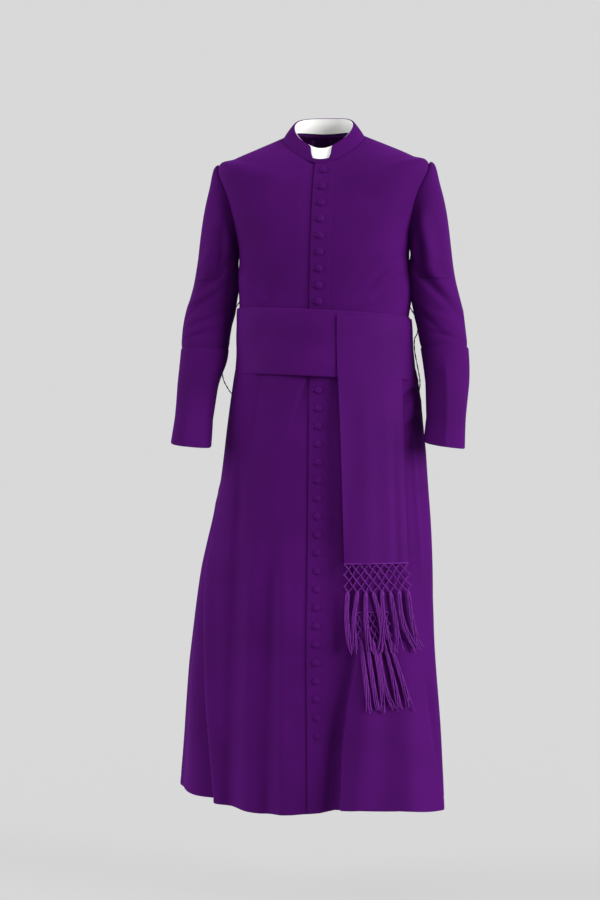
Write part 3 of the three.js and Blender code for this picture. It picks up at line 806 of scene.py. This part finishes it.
def arm_at(z):
    z = np.asarray(z, float)
    return [np.interp(-z, -ARM[:, 0], ARM[:, k]) for k in (1, 2, 3, 4)]


# Where each sleeve is fuller than its plain section: turn from its outer side by the front (rad),
# height (mm), reach in turn (rad), reach in height (mm) and amount (mm).
SLEEVE_FULLNESS = {
    1: [(0.0, -488, 0.95, 105, 8.0), (2.75, -300, 0.6, 58, 5.0)],
    -1: [(3.1, -466, 0.8, 38, 8.5), (0.0, -396, 0.9, 45, 4.0), (2.75, -290, 0.6, 58, 4.0)],
}


def sleeve_fullness(sign, turn, z):
    total = 0.0 * turn
    for at_turn, height, turn_reach, height_reach, amount in SLEEVE_FULLNESS[sign]:
        apart = np.angle(np.exp(1j * (turn - at_turn))) / turn_reach
        above = (z * 1000 - height) / height_reach
        total = total + amount * MM * np.exp(-apart ** 2 - above ** 2)
    return total


def sleeve_point(sign, turn, z, lift, square=2.3):
    middle, ahead, half, depth = arm_at(z)
    lift = lift + sleeve_fullness(sign, turn, z)
    drop = (SLEEVE_TOP - z) / (SLEEVE_TOP - CUFF_BASE)
    out, forward = np.cos(turn), np.sin(turn)
    r = (np.abs(out / half) ** square + np.abs(forward / depth) ** square) ** (-1 / square) + lift
    x = middle + WRIST_DRIFT[sign] * np.maximum(drop, 0) ** 2 + r * out
    return np.stack([sign * x, ahead - r * forward, z + 0 * turn], -1)


# Creases on each sleeve, drawn on it unrolled: from and to (mm round from its outer side by the front,
# and height), depth and half-width.
SLEEVE_REACH = 50.0
SLEEVE_CREASES = {
    -1: [
        ((128, -232), (52, -338), -3.6, 8), ((104, -214), (30, -285), 1.8, 12),
        ((120, -300), (18, -392), -3.4, 7), ((140, -352), (36, -404), -2.8, 5.5),
        ((118, -398), (28, -428), -2.6, 5), ((70, -340), (8, -372), -2.0, 6),
        ((210, -330), (170, -400), -3.0, 8), ((300, -330), (250, -395), -3.0, 8),
    ],
    1: [
        ((140, -236), (60, -350), -3.4, 8), ((112, -262), (22, -405), -3.6, 8),
        ((88, -228), (24, -300), 1.8, 12), ((146, -330), (66, -424), -3.0, 6),
        ((122, -404), (24, -432), -2.6, 5), ((92, -370), (40, -402), 1.8, 6),
        ((210, -330), (170, -400), -3.0, 8), ((300, -330), (250, -395), -3.0, 8),
    ],
}


def sleeve_creases(sign, turn, z):
    """Creases gathered at the elbow, and a slow waviness."""
    zm = z * 1000
    seed = 0.7 if sign > 0 else 2.1
    lift = strokes(SLEEVE_REACH * turn, zm, SLEEVE_CREASES[sign])
    lift += 0.8 * np.sin(2 * turn + zm / 60 + seed)
    return lift * MM


SLEEVE_COLUMNS = 96


# The sleeve head: how far it leads outward from the armhole, its rise over the shoulder and its swell.
CAP_LEAD = {1: 0.48, -1: 0.36}
CAP_PULL = 0.9
HEAD_RISE, HEAD_START, HEAD_REACH, HEAD_DELAY = 0.0088, 0.65, 0.10, 0.006
CROWN_SWELL, CROWN_REACH = 0.0034, 0.14
FRONT_SWELL, FRONT_REACH = 0.012, 0.62
EASE = 0.0024
SEAM_STITCH = 0.0004
ALLOWANCE_IN, ALLOWANCE_UNDER = 0.0028, 0.0027


def make_cap(sign, side, outward_of):
    """The sleeve's cap, eased into the armhole, and its run to just below the armpit."""
    turn = np.linspace(0, 2 * np.pi, SLEEVE_COLUMNS, endpoint=False)
    station = (SHOULDER_TIP + ARMPIT) / 2 - np.cos(turn)
    angle = np.where(turn <= np.pi, front_edge(station), back_edge(station))
    seam = off_body(sign * angle, station, folds(sign * angle, station) + 0.0002)
    outward = body_normal(sign * angle, station)
    end_z = np.full(turn.shape, SLEEVE_SPLIT)
    base = sleeve_point(sign, turn, end_z, sleeve_creases(sign, turn, end_z))
    ahead_z = np.full(turn.shape, SLEEVE_SPLIT - 0.004)
    onward = unit(sleeve_point(sign, turn, ahead_z, sleeve_creases(sign, turn, ahead_z)) - base)
    chord = np.linalg.norm(base - seam, axis=1)[:, None]
    down = unit(base - seam)
    lead = unit(outward * CAP_LEAD[sign] + down) * chord * CAP_PULL
    follow = onward * chord * CAP_PULL
    t = edge_steps(44, 0.2)[:, None, None]
    grid = ((2 * t ** 3 - 3 * t ** 2 + 1) * seam + (t ** 3 - 2 * t ** 2 + t) * lead
            + (3 * t ** 2 - 2 * t ** 3) * base + (t ** 3 - t ** 2) * follow)
    normals = grid_normals(grid, closed=True)
    if np.sum(normals * (grid - outward_of(grid))) < 0:
        normals = -normals
    tt = t[:, :, 0]
    top = np.clip(np.cos(turn), 0, 1)[None, :]
    ease = EASE * np.exp(-((tt - 0.08) / 0.1) ** 2) * (0.1 + 0.9 * top) * smooth(0, 0.03, tt)
    tuck = -SEAM_STITCH * np.exp(-(tt / 0.012) ** 2)
    zm = grid[..., 2] * 1000
    fade = smooth(0.1, 0.5, tt) * (1 - smooth(0.85, 1.0, tt))
    under_arm = np.clip(-np.cos(turn - 0.5), 0, 1)[None, :]
    drag = 1.2 * np.sin(zm / 21 + 1.5 * np.sin(turn)[None, :] + sign) * under_arm
    creases = strokes(SLEEVE_REACH * turn[None, :] + 0 * tt, zm, SLEEVE_CREASES[sign])
    creases = creases * smooth(0.02, 0.15, tt)
    grid = grid + normals * (ease + tuck + (drag * fade + creases) * MM)[..., None]
    onset = 1 - HEAD_START * np.exp(-tt / HEAD_DELAY)
    head = HEAD_RISE * onset * np.exp(-(tt / HEAD_REACH) ** 2) * top ** 2
    crown = CROWN_SWELL * smooth(0, 0.045, tt) * np.exp(-(tt / CROWN_REACH) ** 2) * top ** 2
    grid = grid + head[..., None] * np.array([0.15 * sign, 0, 1]) + crown[..., None] * np.array([sign, 0, 0])
    fullness = FRONT_SWELL * smooth(0, 0.32, tt) * np.exp(-(tt / FRONT_REACH) ** 2)
    fullness = fullness * np.clip(np.sin(turn), 0, 1)[None, :]
    grid = grid + fullness[..., None] * np.array([0, -1, 0])
    # The seam allowance runs on beneath the robe's edge, so that no light shows between the two.
    allowance = seam - unit(grid[2] - grid[0]) * ALLOWANCE_IN - outward * ALLOWANCE_UNDER
    grid = np.concatenate([allowance[None], grid])
    thick = np.full(grid.shape[:2], CLOTH_THICK)
    thick[:3] = CLOTH_THICK / 2
    verts, faces, slots, uvs = shell(grid, thick, closed=True, outward=grid - outward_of(grid))
    obj = make_object(f"sleeve_cap_{side}", verts, faces, [wool, lining], None, slots, uvs)
    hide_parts(f"sleeve_head_{side}")
    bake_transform(obj)


def middle_of_arm(sign):
    def at(points):
        z = np.minimum(points[..., 2], SLEEVE_TOP)
        middle, ahead, _, _ = arm_at(z)
        return np.stack([sign * middle, ahead, points[..., 2]], -1)
    return at


def make_sleeve(sign, side):
    """From the cap to the gauntlet cuff, over the elbow."""
    length = SLEEVE_SPLIT - CUFF_TOP + 0.004
    steps = edge_steps(46, length, (0, 0.0011, 0.003))
    heights = SLEEVE_SPLIT - steps * length
    turn = np.linspace(0, 2 * np.pi, SLEEVE_COLUMNS, endpoint=False)[None, :]
    z = heights[:, None] + 0 * turn
    turn = turn + 0 * z
    tucked = 0.0016 * smooth(-0.428, -0.444, z)  # its foot goes into the cuff
    grid = sleeve_point(sign, turn, z, sleeve_creases(sign, turn, z) - tucked)
    verts, faces, slots, uvs = shell(grid, CLOTH_THICK, closed=True, outward=grid - middle_of_arm(sign)(grid))
    obj = make_object(f"sleeve_{side}", verts, faces, [wool, lining], None, slots, uvs)
    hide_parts(f"sleeve_upper_{side}", f"sleeve_elbow_{side}")
    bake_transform(obj)


# Where each cuff is pressed to an edge, in radians round the arm, and how far that edge stands out in mm.
CUFF_EDGE = {1: (1.50, 5.0), -1: (1.45, 2.2)}
CUFF_SWING = {1: 0.75, -1: -0.55}
CUFF_SLOPE, CUFF_DROP, CUFF_THICK = 0.010, 0.006, 0.0032


def cuff_lift(sign, turn, z):
    """A deep turned-back cuff, pressed to an edge along its outer front, over softer creases."""
    zm = z * 1000
    edge_turn, height = CUFF_EDGE[sign]
    pressed = height * np.exp(-np.abs(turn - edge_turn) / 0.16) * smooth(-455, -500, zm)
    beside = -3.0 * np.exp(-((turn - edge_turn - 0.42) / 0.3) ** 2) * smooth(-440, -520, zm)
    soft = 1.0 * np.sin(zm / 38 + 1.7 * np.cos(turn + sign))
    return (pressed + beside + soft + 0.2) * MM


def make_cuff(sign, side):
    length = CUFF_TOP - CUFF_BASE
    steps = edge_steps(50, length, (0, 0.0007, 0.0018, 0.0036))
    turn = np.linspace(0, 2 * np.pi, SLEEVE_COLUMNS, endpoint=False)[None, :]
    z = CUFF_TOP - steps[:, None] * length + 0 * turn
    turn = turn + 0 * z
    lift = cuff_lift(sign, turn, z) + edge_roll(steps, length, 0.0012)[:, None]
    grid = sleeve_point(sign, turn, z, lift)
    share = smooth(CUFF_TOP - 0.1, CUFF_BASE, z)
    slope = CUFF_SLOPE * share * (CUFF_SWING[sign] * np.cos(turn) + 0.45 * np.sin(turn))
    grid[..., 2] -= slope - CUFF_DROP * share
    verts, faces, slots, uvs = shell(grid, CUFF_THICK, closed=True, outward=grid - middle_of_arm(sign)(grid))
    obj = make_object(f"gauntlet_cuff_{side}", verts, faces, [wool, lining], f"forearm_{side}", slots, uvs)
    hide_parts(f"cuff_{side}")


PAD_START, PAD_RUN, PAD_REACH = 1.1, 1.7, 0.3
PAD_DEPTH, PAD_EDGE, PAD_PLUMP = 0.0098, 0.002, 0.0105


def make_pad(sign, side):
    """A crescent of wadding under the shoulder seam."""
    u = edge_steps(26, 0.14)
    v = edge_steps(16, 0.08)
    station = PAD_START + PAD_RUN * v[:, None] + 0 * u
    angle = math.pi / 2 + PAD_REACH * (2 * u - 1)[None, :] + 0 * station
    grid = off_body(sign * angle, station, np.full(station.shape, -PAD_DEPTH))
    plump = PAD_EDGE + PAD_PLUMP * v[:, None] * (1 - np.abs(2 * u - 1) ** 1.6)[None, :]
    plump = plump * (0.35 + 0.65 * smooth(0, 0.05, np.minimum(u, 1 - u)))[None, :]
    verts, faces, slots, uvs = shell(grid, plump, outward=body_normal(sign * angle, station))
    obj = make_object(f"pad_{side}", verts, faces, [felt, felt], "garment", slots, uvs)
    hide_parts(f"shoulder_pad_{side}")


for side, sign in (("left", 1), ("right", -1)):
    make_cap(sign, side, middle_of_arm(sign))
    make_sleeve(sign, side)
    make_cuff(sign, side)
    make_pad(sign, side)

# ---- Cincture ----
BAND_TOP, BAND_HEIGHT, BAND_TILT = -0.368, 0.138, 0.056
BAND_LIFT, OVER_BUTTONS, BAND_THICK, WRAP_LIFT, WRAP_X = 0.0042, 0.0076, 0.0025, 0.0032, 0.037
WRAP_DROP = 0.06
CORNER_X, FALL_RIGHT = 0.157, 0.155
FALL_START, UNDER_START = -0.372, -0.516
FALL_BASE, BACK_BASE = -0.885, -0.982
FRONT_TIP, BACK_TIP = -1.070, -1.187
FALL_THICK = 0.0016
FALL_LIFT_TOP, FALL_LIFT, UNDER_LIFT = 0.0106, 0.0094, 0.0052


def band_z(x, v):
    return BAND_TOP - BAND_TILT * x - BAND_HEIGHT * v


def on_band(angle, v, lift):
    """A point over the band. v is 0 at its top edge and 1 at its bottom edge."""
    x = body(angle, np.full(np.shape(angle), WAIST))[..., 0]
    station = station_at(band_z(x, v), angle)
    return off_body(angle, station, lift)


def band_lift(angle):
    """The band lies close, except where it passes over the buttons."""
    turned = np.arctan2(np.sin(angle), np.cos(angle))
    return BAND_LIFT + (OVER_BUTTONS - BAND_LIFT) * np.exp(-(turned / 0.5) ** 2)


def band_ease(angle, v):
    """The band draws in towards the robe along both edges, most of all low down at the wearer's sides."""
    swell = 0.0022 * (1 - np.abs(2 * v - 1) ** 3) - 0.0012
    at_sides = 0.0062 * np.abs(np.sin(angle)) ** 4 * smooth(0.3, 1.0, v)
    return swell - at_sides - 0.0012 * np.exp(-v / 0.1)


def make_band():
    turn = np.linspace(0, 2 * np.pi, 220, endpoint=False)[None, :]
    steps = edge_steps(30, BAND_HEIGHT)
    v = steps[:, None] + 0 * turn
    turn = turn + 0 * v
    ripple = 0.0004 * np.sin(7 * turn + 9 * v) + 0.0003 * np.sin(3 * turn - 14 * v)
    rolled = edge_roll(steps, BAND_HEIGHT, 0.001)[:, None]
    lift = band_lift(turn) + BAND_THICK + band_ease(turn, v) + ripple + rolled
    grid = on_band(turn, v, lift)
    verts, faces, slots, uvs = shell(grid, BAND_THICK, closed=True, outward=grid * [1, 1, 0])
    obj = make_object("band", verts, faces, [silk, lining], "garment", slots, uvs)
    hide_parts("cincture_band")


def fall_edges(z, slant_left, slant_right):
    """Where the fall's two edges lie across, leaning apart as it drops."""
    drop = (FALL_START - z) / (FALL_START - FALL_BASE)
    return WRAP_X + slant_left * drop, FALL_RIGHT + slant_right * drop


FRONT_SLANTS, BACK_SLANTS = (0.018, 0.021), (0.036, -0.011)


def fall_place(u, z, slants, fan=(0.0, 0.0), share=0.0):
    """Angle and station of a point u of the way across the fall. A fringe fans out below it."""
    left, right = fall_edges(z, *slants)
    x = (left + fan[0] * share) * (1 - u) + (right + fan[1] * share) * u
    station = station_at(z)
    return angle_at_x(x, station), station


def fall_point(u, z, slants, lift):
    angle, station = fall_place(u, z, slants)
    return off_body(angle, station, lift)


def fall_waves(u, z):
    """Long soft flutes down the fall, deeper towards its foot."""
    grow = smooth(-0.45, -0.88, z)
    flutes = 0.0012 * np.sin(6.5 * u + 2.0 * z + 0.8) + 0.0008 * np.sin(13 * u - 5 * z)
    roll = 0.0028 * np.exp(-((u - 0.93) / 0.06) ** 2) - 0.0022 * np.exp(-((u - 0.83) / 0.05) ** 2)
    along = smooth(-0.47, -0.60, z) * (1 - smooth(-0.80, -0.88, z))
    lifted_edge = 0.0055 * np.exp(-np.maximum(u, 0) / 0.10) * along
    return grow * (flutes + roll) + lifted_edge + 0.0004 * np.sin(19 * u)


def make_front_fall():
    """The band's outer wrap and the fall that it turns down into, in one cloth."""
    fall_u = edge_steps(34, 0.13)
    wrap_u = 1 + edge_steps(56, 0.42)[1:]
    columns = np.concatenate([fall_u, wrap_u])
    upper = edge_steps(26, BAND_HEIGHT)[:-3]
    lower = edge_steps(74, 0.375)[3:]
    rows = np.concatenate([upper, 1 + lower])
    u, v = np.meshgrid(columns, rows)
    start = angle_at_x(WRAP_X, WAIST)
    corner = angle_at_x(CORNER_X, WAIST)
    end = math.pi - 0.15
    angle = np.where(u <= 1, start + (corner - start) * u, corner + (end - corner) * (u - 1))
    over = np.minimum(v, 1)
    below = 0.016 * over ** 4 * smooth(1.0, 1.1, u)
    wrap_lift = band_lift(angle) + BAND_THICK + WRAP_LIFT - 0.0003 + band_ease(angle, over)
    lowered = WRAP_DROP * (1 - over) * (1 - 0.5 * smooth(start, math.pi / 2, angle))
    grid = on_band(angle, over + lowered + below, wrap_lift + 0.0004 * np.sin(5 * angle + 8 * over))
    foot = grid[len(upper) - 1]
    hanging = v > 1
    foot_z = foot[:, 2][None, :]
    z = foot_z + (FALL_BASE - foot_z) * np.clip(v - 1, 0, 1)
    uu = np.clip(u, 0, 1)
    settle = smooth(0, 0.16, v - 1)
    lift = (FALL_LIFT_TOP * (1 - settle) + FALL_LIFT * settle) + fall_waves(uu, z)
    fall = fall_point(uu, z, FRONT_SLANTS, lift)
    first = fall[len(upper)]
    shift = (foot - first)[None, :, :] * np.exp(-np.clip(v - 1, 0, 1) / 0.12)[..., None]
    fall = fall + shift * (uu < 1.0001)[..., None]
    grid = np.where(hanging[..., None], fall, grid)
    mask = np.ones((len(rows) - 1, len(columns) - 1), bool)
    mask[len(upper) - 1:, len(fall_u) - 1:] = False
    outward = grid * [1, 1, 0]
    verts, faces, slots, uvs = shell(grid, FALL_THICK, mask=mask, outward=outward)
    obj = make_object("wrap_and_front_fall", verts, faces, [silk, lining], None, slots, uvs)
    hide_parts("fall_front")
    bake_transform(obj)


def make_back_fall():
    u, v = np.meshgrid(edge_steps(32, 0.12), edge_steps(86, 0.46))
    z = UNDER_START + (BACK_BASE - UNDER_START) * v
    lift = UNDER_LIFT + 0.5 * fall_waves(u, z)
    grid = fall_point(u, z, BACK_SLANTS, lift)
    verts, faces, slots, uvs = shell(grid, FALL_THICK, outward=grid * [1, 1, 0])
    obj = make_object("under_fall", verts, faces, [silk, lining], "fall_back", slots, uvs)
    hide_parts("fall_back")


NET_HEIGHT = 0.056
NET_ROWS = 5
KNOT_R = 0.0019
YARNS = 6
YARN_R = 0.0015
YARN_STEPS = 40
BUNDLE_R = 0.0028
PLY_R, PLY_OFFSET, HEM_CORD_R = 0.00095, 0.0007, 0.0014
WHIPPING_R = 0.0030
LAST_KNOT = 1.001  # knots past the fall's edge are left out


def make_fringe(which, top, tip, slants, lift, fan, cells, seed):
    """A knotted diamond net below the fall's edge, and the bundles of yarn that hang from its last knots."""
    random = np.random.default_rng(seed)
    body_name = f"fringe_{which}"
    net, strands = Gather(), Gather()
    row_height = NET_HEIGHT / NET_ROWS
    width = (FALL_RIGHT - WRAP_X) * (1 if which == "front" else 0.6)

    def at(u, z, out=0.0):
        u, z = np.asarray(u, float), np.asarray(z, float)
        fall_share = np.clip((top - z) / (top - tip), 0, 1)
        angle, station = fall_place(u, z, slants, fan, fall_share ** 1.5)
        over_folds = np.maximum(folds(angle, station), 0) * smooth(0, 0.3, fall_share)
        return off_body(angle, station, lift + out + over_folds)

    def knot_u(row, k):
        return (k + (0.5 if row % 2 else 0.0)) / cells

    slack = random.uniform(-0.0014, 0.0014, (NET_ROWS + 1, cells + 1))
    sway = random.uniform(-0.10, 0.10, (NET_ROWS + 1, cells + 1)) / cells
    slack[0], sway[0] = 0, 0

    def knot_place(row, k):
        k = int(np.clip(k, 0, cells))
        return knot_u(row, k) + sway[row, k], top - row * row_height + slack[row, k]

    for row in range(NET_ROWS):
        for k in range(cells + 1):
            if knot_u(row, k) > LAST_KNOT:
                continue
            for side in (-1, 1):
                onward = k + (side - 1) // 2 + (1 if row % 2 else 0)
                if onward < 0 or knot_u(row + 1, onward) > LAST_KNOT:
                    continue
                (u0, z0), (u1, z1) = knot_place(row, k), knot_place(row + 1, onward)
                t = np.linspace(0, 1, 7)
                sag = 0.0006 * np.sin(np.pi * t)
                path = at(u0 + (u1 - u0) * t, z0 + (z1 - z0) * t - sag, 0.0008 * side)
                twist = 9.0 * t[:, None]
                for ply in (0, np.pi):
                    offset = np.concatenate([np.cos(twist + ply), np.sin(twist + ply), 0 * twist], 1)
                    net.add(*tube(path + PLY_OFFSET * offset, PLY_R, 6))
        for k in range(cells + 1):
            if knot_u(row + 1, k) <= LAST_KNOT:
                u1, z1 = knot_place(row + 1, k)
                net.add(*knot(at(u1, z1, 0.0006), KNOT_R * (1.2 if row == NET_ROWS - 1 else 1.0)))
    hem_u = np.linspace(0, 1, 40)
    net.add(*tube(at(hem_u, np.full(40, top + 0.0005)), HEM_CORD_R, 8))
    for k in range(cells + 1):
        if knot_u(NET_ROWS, k) > LAST_KNOT:
            continue
        u0, foot_z = knot_place(NET_ROWS, k)
        drift = random.uniform(-0.35, 0.5) / cells
        bow = random.uniform(-0.5, 0.5) / cells
        twist_rate = random.uniform(6, 11)
        lead = random.uniform(0, 6)
        for j in range(YARNS):
            t = np.linspace(0, 1, YARN_STEPS)
            end_z = tip + 0.004 + random.uniform(0, 0.012)
            z = foot_z + (end_z - foot_z) * t
            turn = lead + twist_rate * t * (1 - 0.35 * t) + 2 * math.pi * j / YARNS
            spread = BUNDLE_R * smooth(-0.03, 0.05, t) * (1 + 0.35 * t ** 3)
            u = u0 + drift * t ** 1.4 + bow * np.sin(np.pi * t) + spread * np.cos(turn) / width
            fray = random.uniform(-0.6, 0.6) / cells * smooth(0.75, 1.3, t)
            path = at(u + fray, z, 0.0012 + 0.5 * spread * np.sin(turn) + 0.0012 * random.uniform(0, 1) * t)
            strands.add(*tube(path, YARN_R, 6, taper=1.0 - 0.3 * t ** 6))
        neck = at(np.full(6, u0), foot_z - np.linspace(-0.001, 0.010, 6), 0.001)
        strands.add(*wrapped(neck, WHIPPING_R))
    net_object = net.object(f"{which}_net", [yarn], body_name)
    strand_object = strands.object(f"{which}_strands", [yarn], body_name)
    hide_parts(body_name)


def knot(centre, radius):
    """A small knot: a rounded lump."""
    levels, sides = 5, 8
    verts = []
    for i in range(1, levels):
        lat = math.pi * i / levels
        for k in range(sides):
            turn = 2 * math.pi * k / sides
            place = [1.15 * math.sin(lat) * math.cos(turn), 0.8 * math.sin(lat) * math.sin(turn),
                     1.1 * math.cos(lat)]
            verts.append(centre + radius * np.array(place))
    tall = np.array([0, 0, 1.1 * radius])
    verts += [centre + tall, centre - tall]
    return np.array(verts), ring_faces(levels - 1, sides, flip=True)


def wrapped(path, radius):
    """The neck of a bundle, whipped with its own yarn."""
    return tube(path, radius, 10, taper=[0.7, 1.0, 0.92, 1.0, 0.9, 0.75])


BELOW_HEM, FRINGE_LIFT = 0.0008, 0.0095
make_band()
make_fringe("front", FALL_BASE - BELOW_HEM, FRONT_TIP, FRONT_SLANTS, FRINGE_LIFT, (-0.007, 0.030), 8, 5)
make_fringe("back", BACK_BASE - BELOW_HEM, BACK_TIP, BACK_SLANTS, UNDER_LIFT, (0.003, 0.054), 6, 9)
make_front_fall()
make_back_fall()


# ---- Thread loops that carry the band, and the hanger loop ----
def smooth_path(points, count):
    """A Catmull-Rom curve through the points, cut into count places."""
    points = np.asarray(points, float)
    padded = np.concatenate([2 * points[:1] - points[1:2], points, 2 * points[-1:] - points[-2:-1]])
    t = np.linspace(0, len(points) - 1 - 1e-9, count)
    k = t.astype(int)
    f = (t - k)[:, None]
    p0, p1, p2, p3 = padded[k], padded[k + 1], padded[k + 2], padded[k + 3]
    bend = 2 * p0 - 5 * p1 + 4 * p2 - p3
    return p1 + 0.5 * f * (p2 - p0 + f * (bend + f * (3 * (p1 - p2) + p3 - p0)))


# Each thread loop: heights from the band's top edge and distances off the robe, in mm.
LOOP_MARKS = {
    "left": [(26, 0), (14, 8), (0, 16), (-18, 20), (-34, 19), (-46, 13), (-72, 11.2), (-112, 11.2),
             (-136, 11.2), (-154, 7), (-166, 0)],
    "right": [(26, 0), (12, 9), (-8, 24), (-44, 35), (-84, 39), (-122, 39), (-150, 32), (-172, 15),
              (-184, 0)],
}
LOOP_TURN = {"left": math.radians(92), "right": math.radians(-97)}
WAIST_HALF = 0.178
THREAD_OFFSET, THREAD_R = 0.0007, 0.0008


def make_belt_loop(sign, side):
    band_top = BAND_TOP - sign * BAND_TILT * WAIST_HALF
    turn = LOOP_TURN[side]
    points = []
    for rise, lift in LOOP_MARKS[side]:
        points.append(off_body(turn, station_at(band_top + rise * MM, turn), lift * MM))
    path = smooth_path(points, 60)
    thread = Gather()
    twist = np.linspace(0, 60, 60)
    for ply in (0, math.pi):
        offset = THREAD_OFFSET * np.stack([np.cos(twist + ply), np.sin(twist + ply), 0 * twist], -1)
        thread.add(*tube(path + offset, THREAD_R, 6))
    obj = thread.object(f"thread_loop_{side}", [yarn], "garment")
    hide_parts(f"belt_loop_{side}")


TAPE_HALF, TAPE_HALF_THICK = 0.0028, 0.0007


def make_hanger():
    """The hanging tape in the back of the neck: a flat ribbon in a U."""
    half, drop, y = 0.028, 0.024, 0.056
    marks = [(-half, 0.004), (-half, -0.008), (-0.7 * half, -0.85 * drop), (0, -drop),
             (0.7 * half, -0.85 * drop), (half, -0.008), (half, 0.004)]
    path = smooth_path([(x, y, z) for x, z in marks], 60)
    tangent = unit(np.gradient(path, axis=0))
    out = np.array([0, 1.0, 0])
    flat = np.cross(tangent, out)
    corners = [(1, 1), (1, -1), (-1, -1), (-1, 1)]
    verts = np.concatenate([path + flat * TAPE_HALF * a + out * TAPE_HALF_THICK * b for a, b in corners])
    count, faces = len(path), []
    for i in range(count - 1):
        for k in range(4):
            k2 = (k + 1) % 4
            faces.append((k * count + i, k * count + i + 1, k2 * count + i + 1, k2 * count + i))
    faces.append((0, count, 2 * count, 3 * count))
    faces.append((4 * count - 1, 3 * count - 1, 2 * count - 1, count - 1))
    run = np.linspace(0, 0.1, count)
    uvs = np.concatenate([np.stack([run, np.full(count, 0.003 * k)], -1) for k in range(4)])
    obj = make_object("hanging_tape", verts, faces, [silk], "hanger", uvs=uvs, sharp=30)
    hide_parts("hanger_loop")


make_belt_loop(1, "left")
make_belt_loop(-1, "right")
make_hanger()

# ---- Studio ----
FLOOR_Z, FLOOR_RADIUS, FLOOR_SIDES = -1.586, 40, 64
BACKDROP_GREY = 0.693
FLOOR_ALBEDO = 0.12
FLOOR_GLOW = 0.529


def sun(name, azimuth, elevation, softness, strength):
    """A broad soft light from a long way off. Azimuth 0 is in front and 90 at the wearer's left."""
    data = bpy.data.lights.new(name, "SUN")
    data.energy = strength
    data.angle = math.radians(softness)
    light = bpy.data.objects.new(name, data)
    light.rotation_euler = (math.radians(90 - elevation), 0, math.radians(azimuth))
    bpy.context.collection.objects.link(light)


def make_studio():
    """A pale floor under an even grey surround, of the same brightness, so that no horizon shows."""
    rim = []
    for k in range(FLOOR_SIDES):
        turn = k * 2 * math.pi / FLOOR_SIDES
        rim.append((FLOOR_RADIUS * math.cos(turn), FLOOR_RADIUS * math.sin(turn), FLOOR_Z))
    mesh = bpy.data.meshes.new("studio_floor")
    mesh.from_pydata(rim, [], [tuple(range(FLOOR_SIDES))])
    material, _, _ = new_material("pale_floor", {
        "Base Color": (FLOOR_ALBEDO, FLOOR_ALBEDO, FLOOR_ALBEDO, 1), "Roughness": 1.0,
        "Specular IOR Level": 0.0, "Emission Color": (1, 1, 1, 1), "Emission Strength": FLOOR_GLOW})
    mesh.materials.append(material)
    floor = bpy.data.objects.new("studio_floor", mesh)
    bpy.context.collection.objects.link(floor)
    world = bpy.data.worlds.new("studio_world")
    world.use_nodes = True
    background = world.node_tree.nodes["Background"]
    background.inputs["Color"].default_value = (1, 1, 1, 1)
    background.inputs["Strength"].default_value = BACKDROP_GREY
    bpy.context.scene.world = world
    bpy.context.scene.view_settings.view_transform = "Standard"


make_studio()
sun("key_light", 68, 9, 40, 6.4)
sun("rim_light", -78, 20, 40, 3.0)
